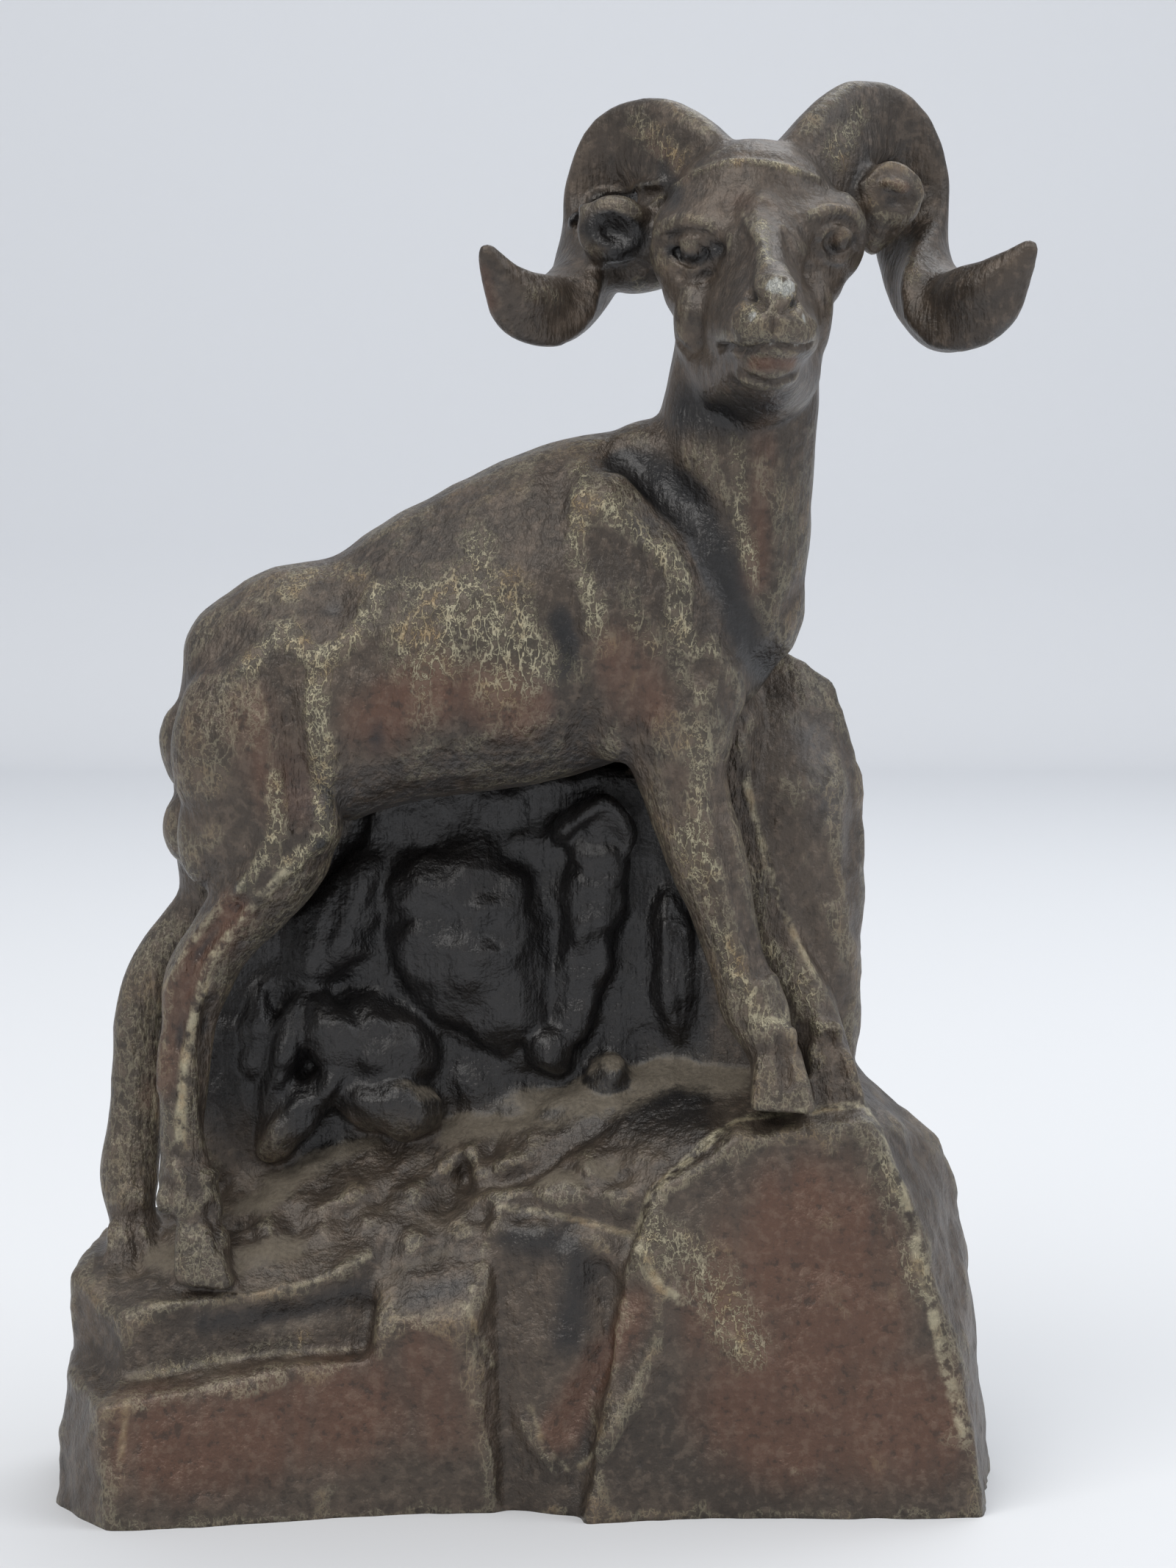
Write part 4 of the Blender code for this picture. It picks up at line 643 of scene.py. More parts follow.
LEG_LINES = [
    (1.3, 0.45, [(-26, 74.4), (-29.8, 71.1), (-37.9, 61.9), (-40.2, 56), (-42, 48.4), (-42.6, 39.6)]),
    (1.2, 0.4, [(-35, 69.2), (-40.5, 63.3), (-43.6, 57.3), (-44.4, 52.2), (-44.8, 45.4)]),
    (1.6, -0.6, [(-36, 66.4), (-40.8, 60.4), (-42.4, 54), (-43.2, 44)]),
    (1.6, -0.5, [(-39.2, 55), (-39.8, 47), (-39.6, 40)]),
    (1.4, -0.5, [(-41.6, 36), (-40.4, 33), (-39, 31)]),
    (1.2, 0.5, [(-44, 36.4), (-41, 35), (-38.6, 35.4)]),
    (1.4, -0.7, [(-39.4, 30.6), (-37.2, 29.6), (-35.2, 29.8)]),
    (1, -0.8, [(-38.8, 31.6), (-38.2, 26.4)]),
    (1, -0.8, [(26.6, 51.4), (27.4, 46)]),
    (1, -0.7, [(32.6, 51.4), (33.6, 46.6)]),
    (1, -0.7, [(-48, 30.4), (-47.6, 24)]),
    (1.6, 0.4, [(16.4, 80), (18.2, 73), (20, 67), (22, 60.6)]),
    (1.6, -0.5, [(19.2, 80), (20.6, 73), (22.2, 66), (24.4, 59)]),
    (1.6, 0.5, [(22, 85), (23.6, 78), (26, 70), (28.4, 63), (31, 57)]),
    (1.3, 0.5, [(20.6, 58.6), (23.4, 57.4), (26.2, 58.2)]),
]
FACE_LINES = [
    (2.3, -1.6, [(13.8, 141.3), (16.3, 141), (19, 141.5)]),
    (2, -1, [(30.6, 141.8), (32.4, 142.3), (33.8, 142.4)]),
    (3, -0.55, [(18.4, 138.8), (17.6, 135.4), (17.2, 132.6)]),
    (1.8, -0.6, [(29.2, 139.6), (29.4, 136.6), (30, 133.6)]),
    (0.9, 0.35, [(21.8, 145.5), (22.8, 143.9), (24.1, 142.4), (24.5, 139.7)]),
    (0.9, 0.35, [(26.3, 144.3), (27.7, 142.2), (28.1, 140.8)]),
    (1.8, -0.5, [(24.9, 146.4), (25.5, 143.6), (26, 141)]),
    (1.6, -0.4, [(20.2, 147), (20.4, 144.6)]),
]
FINE_LINES = [
    (0.8, 0.5, [(13.2, 141.2), (14.2, 142.2), (16, 142.6), (17.7, 142.3), (18.9, 141.3)]),
    (0.8, 0.45, [(13.2, 141), (14.6, 139.7), (16.3, 139), (17.9, 139.8), (18.9, 141.1)]),
    (0.7, -0.35, [(13.6, 142.8), (15.6, 143.4), (17.8, 143.2)]),
    (0.7, -0.4, [(14.6, 138.6), (16.4, 138), (18.2, 138.8)]),
    (0.8, 0.45, [(30.4, 141.9), (31, 143.4), (32.6, 144), (34, 143.2)]),
    (0.8, 0.45, [(30.4, 141.7), (31.6, 140.4), (33.2, 140.3), (34.2, 141.4)]),
    (0.8, -0.9, [(22.7, 136.5), (23.5, 135.8), (24.2, 135.1)]),
    (0.8, -0.9, [(26.6, 134.6), (27.3, 134.8), (28.1, 135.6)]),
    (0.7, -1, [(19.2, 130.3), (20.2, 130.5), (22.3, 130.1), (25.5, 130.5), (28.4, 130.3), (29.6, 130.6)]),
    (0.8, -0.45, [(21.6, 127.6), (23.1, 126.8), (25.5, 126.4), (27.8, 127.2)]),
    (0.5, -0.5, [(25.5, 134.6), (25.5, 132.3)]),
    (0.8, -0.4, [(14, 131.7), (16, 129.8), (17.1, 130.4)]),
    (0.8, 0.3, [(11.8, 146.4), (15.5, 149.4), (18.8, 150.9), (21.8, 151.4), (26.3, 150.9), (30.5, 149.4)]),
]
EAR_LINES = [
    (3.6, -2.6, [(5.6, 143.8), (9.4, 143)]),
    (2.4, -1.3, [(38.6, 147), (40.4, 146.6)]),
    (1.1, 0.8, [(3, 144.4), (5.4, 147.4), (9.2, 148.2), (13, 149)]),
    (0.9, 0.4, [(35.4, 148.4), (38.4, 151), (41.6, 149.4), (42.4, 147)]),
    (1.6, 0.9, [(38.6, 148.6), (39.8, 148)]),
]
ROCK_LINES = [
    (1.4, 0.35, [(-0.8, 74.2), (-7.1, 73.9), (-12.6, 73.2), (-16.6, 70.6), (-18.8, 67.2)]),
    (2.4, -0.6, [(-15, 67), (-10, 64.6), (-3, 64)]),
    (2, 0.5, [(-16, 63.6), (-11, 61.6), (-4, 61.4)]),
    (2, -0.8, [(3.4, 75), (5.4, 73.8), (7.4, 74.4)]),
    (1.2, 0.5, [(2.2, 75.6), (4.4, 77.2), (6.6, 78), (8.4, 76.6), (8.9, 72.6)]),
    (1.6, -0.7, [(2.8, 71), (4.8, 70), (7.4, 71)]),
    (2, -0.6, [(4.6, 67), (4.8, 61), (3.6, 56)]),
    (1.6, -0.6, [(14.6, 66), (14.4, 60), (15.4, 54)]),
    (1.8, -0.6, [(-24.6, 66), (-26, 60), (-22, 54)]),
    (2, -0.6, [(-21, 52), (-17, 48.6)]),
    (2.4, -0.9, [(-8, 34), (-2, 36), (6, 41)]),
    (1.6, -0.7, [(-4.6, 42), (-7, 38), (-6, 34.6)]),
    (2.2, 0.6, [(-5, 41), (-9, 37.6), (-16, 34)]),
    (2.2, -0.7, [(-34, 28), (-26, 30), (-19, 33)]),
    (1.8, -0.6, [(-33, 18), (-25, 19.6), (-21.4, 19.4)]),
    (1.4, 0.5, [(-46.2, 19.6), (-38, 20.8), (-29.7, 21.7), (-20.8, 25.5)]),
    (1.2, -0.5, [(2, 36), (6, 34), (9, 35)]),
    (1.8, 0.6, [(0, 33.4), (4, 36), (8.4, 31)]),
    (2, 0.6, [(10.4, 26.5), (12.8, 17.6), (10, 10), (5.9, 3.1)]),
    (2.4, -0.7, [(6, 24), (6.6, 14), (2, 6)]),
    (1.6, 0.4, [(10.4, 26.5), (15.5, 20.3), (23.8, 14.1)]),
    (1.6, 0.5, [(-3, 6.5), (0.6, 0)]),
]
# Noise in the surface: amount, wave length and seed
BROAD_STONE = (0.5, 5.0, 3.0)
FINE_STONE = (0.22, 1.7, 9.0)
LEDGE_STONE = (0.9, 3.4, 6.0)
COAT = (0.14, 3.0, 5.0)
# The eyes: centre and radii
EYEBALLS = [
    ((16.3, -10.5, 140.7), (1.75, 1.8, 1.5)),
    ((31.9, -9.8, 141.8), (1.75, 1.8, 1.5)),
]


def roughen(made, share, amount, length, seed):
    """Push the surface in and out along its normals by a soft noise of a wave length."""
    places = places_of(made)
    normals = normals_of(made)
    lift = np.zeros(len(places))
    for i in np.flatnonzero(share > 0.02):
        lift[i] = noise.noise(Vector(places[i]) / length + Vector((seed, 0, 0)))
    places += normals * (lift * amount * share)[:, None]
    put_places(made, places)


def join(made, other):
    """Move the other object's mesh into this one."""
    both = bmesh.new()
    both.from_mesh(made.data)
    both.from_mesh(other.data)
    both.to_mesh(made.data)
    both.free()
    bpy.data.objects.remove(other)


def ramp(values, start, end):
    """0 at the start, 1 at the end and straight between."""
    return np.clip((values - start) / (end - start), 0, 1)


def make_outside(folder, grain):
    """The casting's outer form: the ram and the rock blended, then carved. Also the ram by itself."""
    clay = bmesh.new()
    for add in (add_torso, add_haunches, add_shoulders, add_neck, add_legs, add_head, add_ears, add_horns):
        add(clay)
    casting = new_object("casting", clay, folder)
    remesh(casting, BLEND_GRAIN)
    relax(casting, RAM_ROUNDS)
    ram_tree = tree_of(casting)
    rocks = bmesh.new()
    add_foot_rocks(rocks)
    add_wall_rocks(rocks)
    rock = new_object("rock", rocks, folder)
    remesh(rock, BLEND_GRAIN)
    relax(rock, ROCK_ROUNDS)
    x, y, z = places_of(rock).T
    relax(rock, RECESS_ROUNDS, where=ramp(z, 46, 50) * ramp(x, 18, 15) * ramp(y, 8, 5))
    join(casting, rock)
    remesh(casting, JOIN_GRAIN)
    relax(casting, ROCK_ROUNDS)
    carve(casting, BODY_LINES + LEG_LINES + FACE_LINES + EAR_LINES)
    carve(casting, BODY_LINES, OTHER_EYE)
    carve(casting, ROCK_LINES)
    off_ram = np.array([ram_tree.find_nearest(place)[3] for place in places_of(casting)])
    stony = ramp(off_ram, 0, 1.2)
    roughen(casting, stony, *BROAD_STONE)
    roughen(casting, stony, *FINE_STONE)
    x, y, z = places_of(casting).T
    ledge = stony * ramp(z, 24, 30) * ramp(x, 14, 6)
    roughen(casting, ledge * ramp(y, 8, 4), *LEDGE_STONE)
    roughen(casting, 1 - stony, *COAT)
    eyes = bmesh.new()
    for centre, radii in EYEBALLS:
        add_ball(eyes, centre, radii)
    join(casting, new_object("eyes", eyes, folder))
    remesh(casting, grain)
    carve(casting, FINE_LINES)
    return casting, ram_tree


def cut(made, clay, folder):
    """Cut a solid, given in millimetres, out of the casting."""
    tool = new_object("cutter", clay, folder)
    step = made.modifiers.new("Cut", "BOOLEAN")
    step.operation = "DIFFERENCE"
    step.solver = "EXACT"
    step.object = tool
    bake(made)
    bpy.data.objects.remove(tool)


def thin(made, faces, care):
    """Fewer faces, with most of them left where care is high."""
    group = made.vertex_groups.new(name="care")
    for level in range(CARE_STEPS + 1):
        chosen = np.flatnonzero(np.round(care * CARE_STEPS) == level)
        if len(chosen):
            group.add(chosen.tolist(), 1 - CARE_SHARE * level / CARE_STEPS, "REPLACE")
    step = made.modifiers.new("Thin", "DECIMATE")
    step.ratio = min(1.0, faces / sum(len(face.vertices) - 2 for face in made.data.polygons))
    step.use_collapse_triangulate = True
    step.vertex_group = "care"
    step.vertex_group_factor = CARE_FACTOR
    bake(made)
    made.vertex_groups.clear()


def fade(value, low, high):
    """0 below low, 1 above high and a smooth climb between."""
    share = np.clip((value - low) / (high - low), 0, 1)
    return share * share * (3 - 2 * share)


def spread(places, tree, spots, eye=EYE):
    """The strongest of several soft blobs, each with its strength, reach and path."""
    best = np.zeros(len(places))
    for strength, reach, points in spots:
        path = seen(tree, smooth_rows(points, 4) if len(points) > 1 else points, eye)
        if len(path):
            best = np.maximum(best, strength * nearness(places, path, reach))
    return best


def both_sides(places, tree, spots, share):
    """The blobs as seen from the front and, by a share, as seen from behind."""
    behind = share * spread(places, tree, spots, OTHER_EYE)
    return np.maximum(spread(places, tree, spots), behind)


# Places of the finish: strength, reach in mm and path in the plane y = 0
WEAR_SPOTS = [
    (0.95, 9.5, [(-14, 97), (-9, 101), (-4, 96)]),
    (0.8, 5, [(-9, 102), (-8, 109)]),
    (0.75, 5, [(-3, 98), (1, 94), (-16, 103)]),
    (0.8, 3, HIP_RING),
    (0.55, 3.4, [(-30, 102.6), (-26.8, 105), (-21.6, 105)]),
    (1, 2.6, THIGH_RIDGE + [(-29.8, 71.1)]),
    (0.7, 2, [(-31.3, 81.4), (-31.4, 74.9), (-35, 69.2)]),
    (0.75, 2.6, BLADE_EDGE),
    (0.75, 3, [(6.9, 112.6), (10.6, 108.8), (14.8, 105.4), (14.9, 100.4), (16.5, 96.2), (18.5, 95.8)]),
    (0.6, 3.4, [(9, 103), (11, 98), (17.7, 91)]),
    (0.7, 2.4, [(21.4, 120.5), (21.8, 116.3), (22.1, 111.3), (23.6, 104)]),
    (0.6, 3.4, [(17, 86), (17.8, 78)]),
    (1, 3.8, [(16.2, 75), (17.4, 71)]),
    (0.6, 2.6, [(18, 70), (20, 62), (23, 56)]),
    (0.6, 3, [(25, 62), (28.6, 58), (30.6, 53)]),
    (0.7, 2.6, [(24, 53.6), (27.6, 53.2)]),
    (0.6, 2, [(24.4, 144.6), (24.8, 140.4)]),
    (0.65, 2.8, [(23.2, 134.6), (26, 137.2), (29, 134)]),
    (0.5, 1.6, [(11.8, 146.6), (15.5, 149.6), (18.8, 151.1), (21.8, 151.6), (26.3, 151.1), (30.5, 149.6)]),
    (0.6, 4, [(10, 155.6), (14.4, 151.6)]),
    (0.7, 4, [(35, 156.6), (32.4, 152.4)]),
    (0.4, 3, [(40.4, 142), (42, 138)]),
    (0.4, 2.6, [(-2, 137), (2, 136)]),
    (0.75, 7, [(12.6, 28), (17, 24), (23, 16)]),
    (0.55, 5, [(38, 36), (42, 22)]),
    (0.5, 2.4, [(-50, 11), (-38, 14), (-28, 16)]),
]
EDGE_SPOTS = [
    (1, 1.5, [(-29.8, 71.1), (-37.9, 61.9), (-40.2, 56), (-42.2, 48.4), (-42.6, 39.6)]),
    (0.8, 1.4, [(-35, 69.2), (-40.5, 63.3), (-44.2, 57.3), (-45.4, 48), (-45.6, 40)]),
    (0.55, 1.3, [(21.8, 146), (22.8, 143.9), (24.4, 141.4)]),
    (0.5, 1.2, [(3, 144.4), (5.4, 147.6), (9.2, 148.4), (13, 149.2)]),
    (0.6, 1.2, [(15.6, 150.2), (18.8, 151.4)]),
    (0.6, 1.2, [(25.4, 151.4), (30.6, 149.6)]),
    (1, 1.6, [(11.8, 33.4), (16, 37), (21.7, 41.6), (29, 42.8), (36.6, 43.4)]),
    (1, 1.7, [(36.6, 43.4), (39.6, 37), (42.4, 27), (45.4, 15), (48.4, 4)]),
    (0.9, 1.6, [(11.8, 33.4), (10.2, 27.4), (12.6, 22.6), (15.5, 20.3)]),
    (0.6, 1.5, [(15.5, 20.3), (20, 17.4), (23.8, 14.1)]),
    (0.7, 1.4, [(-5.7, 31.6), (1, 30.6), (9.7, 28.2)]),
    (0.7, 1.5, [(-7.4, 27), (-9.4, 20), (-6.6, 13)]),
    (0.7, 1.3, [(-2.6, 9), (-0.6, 3.4), (2, 0.8)]),
    (0.7, 1.4, [(4.4, 9), (5.6, 4), (3.4, 0.8)]),
    (0.6, 1.4, [(12, 16), (9.6, 10), (8, 6)]),
    (0.6, 1.3, [(-46.2, 20), (-38, 21.2), (-29.7, 22.1), (-20.8, 25.9)]),
    (0.6, 1.3, [(-19.6, 18.2), (-8.7, 20.4)]),
    (0.6, 1.4, [(-51, 9.6), (-44, 12.4), (-34, 14.2), (-27, 14.6), (-20.8, 15)]),
    (0.7, 1.4, [(-50, 1), (-49.4, 6), (-49, 9)]),
    (0.9, 1.2, [(23.6, 53.6), (25.4, 53.4), (27.4, 53.2)]),
    (0.8, 1.3, [(22.6, 81), (24.6, 73), (27.4, 65), (31, 58)]),
]
RUST_SPOTS = [
    (0.9, 8, [(-20, 88), (-13.8, 91.6), (-8.8, 91.2), (-3.7, 89.5)]),
    (0.6, 9, [(-34, 88), (-30, 80)]),
    (0.8, 5, [(-36, 66), (-43, 56), (-45, 44)]),
    (0.6, 8, [(8, 96), (11, 90)]),
    (0.4, 6, [(15, 82), (19, 66)]),
    (0.9, 13, [(-46, 4), (-34, 5), (-22, 8)]),
    (0.8, 9, [(-14, 14), (-12, 6)]),
    (0.9, 15, [(22, 20), (30, 30), (34, 18), (24, 8), (42, 6)]),
    (0.8, 5, [(10, 20), (1, 5)]),
    (0.75, 2.2, [(23.6, 128.6), (27.4, 128.6)]),
    (0.4, 5, [(21, 147), (25, 147)]),
    (0.6, 4, [(25, 124), (23.4, 104)]),
    (0.6, 3, [(-7.6, 139), (-6, 132)]),
    (0.5, 3, [(11.6, 153.6), (15.6, 149.6)]),
    (0.7, 1.8, [(38.4, 149), (40.4, 148.4)]),
    (0.4, 8, [(-40, 92), (-42, 82)]),
    (0.6, 2, [(32.9, 142.6)]),
]
# Painted shade: near black painted into the recess under the belly, the neck groove, the ear hollows, the
# eye sockets, the nostrils and under the jaw, where shade falls
SHADE_SPOTS = [
    (1, 13, [(-18, 66), (-8, 66), (2, 66), (10, 62)]),
    (1, 9, [(-28, 58), (-30, 48), (-26, 40)]),
    (0.9, 9, [(-20, 54), (-6, 54), (8, 54)]),
    (1, 6, [(-16, 77), (0, 79), (10, 78)]),
    (0.9, 4.6, [(10.6, 117.2), (16.4, 112.4), (19.5, 106.5), (21.7, 99.1), (25, 93.6)]),
    (1, 4.2, [(5.4, 144), (9.4, 143), (8, 140.8)]),
    (0.95, 1.7, [(13.8, 141.4), (16.4, 140.4), (19, 141.4)]),
    (0.6, 1.5, [(31, 141), (34.6, 142.6)]),
    (0.45, 3.4, [(16.4, 137.6), (17, 132)]),
    (0.95, 6, [(15.6, 123.4), (20, 123), (24, 123.6)]),
    (0.7, 3, [(13, 150.4), (14.4, 147)]),
    (0.6, 3, [(34, 148), (36, 152)]),
    (0.8, 4.6, [(-4, 28), (3, 26), (2, 16)]),
    (0.7, 3, [(-16, 20.6), (-10, 22.6)]),
    (0.7, 3, [(-40, 18), (-30, 19.4), (-22, 22)]),
    (0.6, 1.6, [(38.8, 146.8)]),
    (0.9, 1.2, [(23.6, 136.1)]),
    (0.9, 1.2, [(27.6, 135.4)]),
    (0.5, 6, [(43, 140), (46, 134)]),
]
DUST_SPOTS = [
    (1, 8, [(-14, 43), (-6, 43), (4, 45), (14, 48), (20, 47)]),
    (0.9, 5, [(-34, 32), (-26, 38), (-18, 42)]),
    (0.8, 4, [(-46, 26), (-38, 25), (-30, 27)]),
    (0.9, 2.6, [(-48, 12.4), (-40, 15.6), (-30, 17.6), (-22, 18.6)]),
    (0.8, 3.4, [(0, 35), (7, 36)]),
    (0.6, 3.4, [(-17, 25), (-9, 28)]),
    (0.7, 3, [(24, 48), (31, 47.6)]),
    (0.7, 2.6, [(31, 57), (34, 53)]),
]
# Silver on the nose and muzzle, partly bare metal and partly painted highlight; the last two spots are
# painted glints on the left eye
GLINT_AND_BARE_METAL_SPOTS = [
    (1, 2.6, [(25.6, 137.4), (27, 137.2)]),
    (0.9, 1.7, [(23, 134)]),
    (0.9, 1.7, [(29, 133.6)]),
    (0.7, 0.9, [(25, 130.8), (29, 130.8)]),
    (0.6, 0.9, [(15.6, 141.9)]),
    (0.5, 0.8, [(18.6, 140.6)]),
]
# Painted sheen: listed spots of blue grey, standing in for reflected light
SHEEN_SPOTS = [
    (0.7, 6, [(-26, 79), (-20, 79.6)]),
    (0.8, 3, [(-1, 92), (-0.6, 86)]),
    (0.8, 5, [(30, 86), (32, 78)]),
    (0.6, 4, [(11, 110), (14, 114)]),
]


def add_layer(made, name, values):
    """Store one number for each point, for the finish to read."""
    layer = made.data.attributes.new(name, "FLOAT", "POINT")
    layer.data.foreach_set("value", np.ascontiguousarray(values, dtype=np.float32))


def paint(made, ram_tree):
    """Store what the finish needs to know of each point: what it is, how worn and dusty, and where painted
    shade, painted sheen and painted highlights go.
    """
    places = places_of(made)
    normals = normals_of(made)
    tail, head = edges_of(made)
    wide = places
    for _ in range(BEND_REACH):
        wide = around(wide, tail, head, len(places))
    bend = ((places - wide) * normals).sum(1)
    for _ in range(BEND_BLUR):
        bend = around(bend[:, None], tail, head, len(places))[:, 0]
    tree = tree_of(made)
    rock = fade(np.array([ram_tree.find_nearest(place)[3] for place in places]), 0.2, 1.0)
    horn = np.zeros(len(places))
    for path in (LEFT_HORN, RIGHT_HORN):
        line = smooth_rows([row[:3] for row in path[2:]], 4)
        horn = np.maximum(horn, fade(nearness(places, line, HORN_REACH), 0.1, 0.3))
    head_share = fade(places[:, 2], 121, 125) * (1 - horn)
    add_layer(made, "ridge", fade(bend, 0.02, 0.16))
    # Concave places, which the finish paints darker as shade
    add_layer(made, "crease", fade(-bend, 0.02, 0.16))
    add_layer(made, "rock", rock)
    add_layer(made, "horn", horn)
    add_layer(made, "fur", (1 - rock) * (1 - horn) * (1 - 0.6 * head_share))
    add_layer(made, "level", fade(normals[:, 2], 0.3, 0.85))
    add_layer(made, "wear", both_sides(places, tree, WEAR_SPOTS, 0.75))
    add_layer(made, "edge", spread(places, tree, EDGE_SPOTS))
    add_layer(made, "rust", both_sides(places, tree, RUST_SPOTS, 0.8))
    x, y, z = places.T
    # Painted shade: the rock of the recess under the belly and the listed dark spots are painted near
    # black, standing in for shade
    recess = rock * fade(z, 36, 46) * (1 - fade(y, 6, 10)) * (1 - fade(x, 16, 22))
    add_layer(made, "painted_shade", np.maximum(spread(places, tree, SHADE_SPOTS), 0.9 * recess))
    add_layer(made, "dust", spread(places, tree, DUST_SPOTS))
    # Silver at the nose and muzzle, partly bare metal and partly painted highlight, and painted glints on
    # the eyes
    add_layer(made, "glint_and_bare_metal", spread(places, tree, GLINT_AND_BARE_METAL_SPOTS))
    # Painted sheen: blue grey on downward-facing surfaces and the listed spots, standing in for reflected
    # light
    under = fade(-normals[:, 2], 0.3, 0.8) * (1 - rock)
    add_layer(made, "painted_sheen", np.maximum(under * 0.9, spread(places, tree, SHEEN_SPOTS)))


class Field:
    """A shader socket that takes part in sums, so that masks read as arithmetic."""

    def __init__(self, desk, socket):
        self.desk = desk
        self.socket = socket

    def math(self, operation, *others):
        return self.desk.node("ShaderNodeMath", settings={"operation": operation}, values=[self, *others])

    def __add__(self, other):
        return self.math("ADD", other)

    def __radd__(self, other):
        return self.math("ADD", other)

    def __mul__(self, other):
        return self.math("MULTIPLY", other)

    def __rmul__(self, other):
        return self.math("MULTIPLY", other)

    def __sub__(self, other):
        return self.math("SUBTRACT", other)

    def __rsub__(self, other):
        return self.desk.node("ShaderNodeMath", settings={"operation": "SUBTRACT"}, values=[other, self])

    def most(self, other):
        return self.math("MAXIMUM", other)

    def size(self):
        return self.math("ABSOLUTE")

    def step(self, low, high):
        """0 below low, 1 above high, smooth between."""
        return self.desk.node(
            "ShaderNodeMapRange", settings={"interpolation_type": "SMOOTHSTEP"},
            values={"Value": self, "From Min": low, "From Max": high},
        )


class Desk:
    """A material's node tree, with one call for any node."""

    def __init__(self, name):
        self.material = bpy.data.materials.new(name)
        self.material.use_nodes = True
        self.tree = self.material.node_tree
        self.shader = self.tree.nodes["Principled BSDF"]

    def put(self, socket, value):
        if isinstance(value, Field):
            self.tree.links.new(value.socket, socket)
        elif socket.type == "RGBA":
            socket.default_value = (*value, 1)[:4]
        else:
            socket.default_value = value

    def node(self, kind, settings=None, values=(), out=0):
        made = self.tree.nodes.new(kind)
        for name, value in (settings or {}).items():
            setattr(made, name, value)
        pairs = values.items() if isinstance(values, dict) else enumerate(values)
        for key, value in pairs:
            self.put(made.inputs[key], value)
        return Field(self, made.outputs[out])

    def layer(self, name):
        return self.node("ShaderNodeAttribute", settings={"attribute_name": name}, out="Fac")

    def grain(self, scale, detail=3.0, stretch=(1, 1, 1), turn=(0, 0, 0), rough=0.55):
        """Noise over the object's own coordinates, with scale in cells per metre."""
        place = self.node("ShaderNodeTexCoord", out="Object")
        place = self.node("ShaderNodeMapping", values={
            "Vector": place, "Rotation": turn, "Scale": stretch,
        })
        return self.node("ShaderNodeTexNoise", values={
            "Vector": place, "Scale": scale, "Detail": detail, "Roughness": rough,
        })

    def mix(self, share, first, second):
        """Colours mixed by a share of the second."""
        made = self.tree.nodes.new("ShaderNodeMix")
        made.data_type = "RGBA"
        self.put(made.inputs["Factor"], share)
        self.put(made.inputs[6], first)
        self.put(made.inputs[7], second)
        return Field(self, made.outputs[2])

    def set(self, **values):
        for name, value in values.items():
            self.put(self.shader.inputs[name.replace("_", " ")], value)


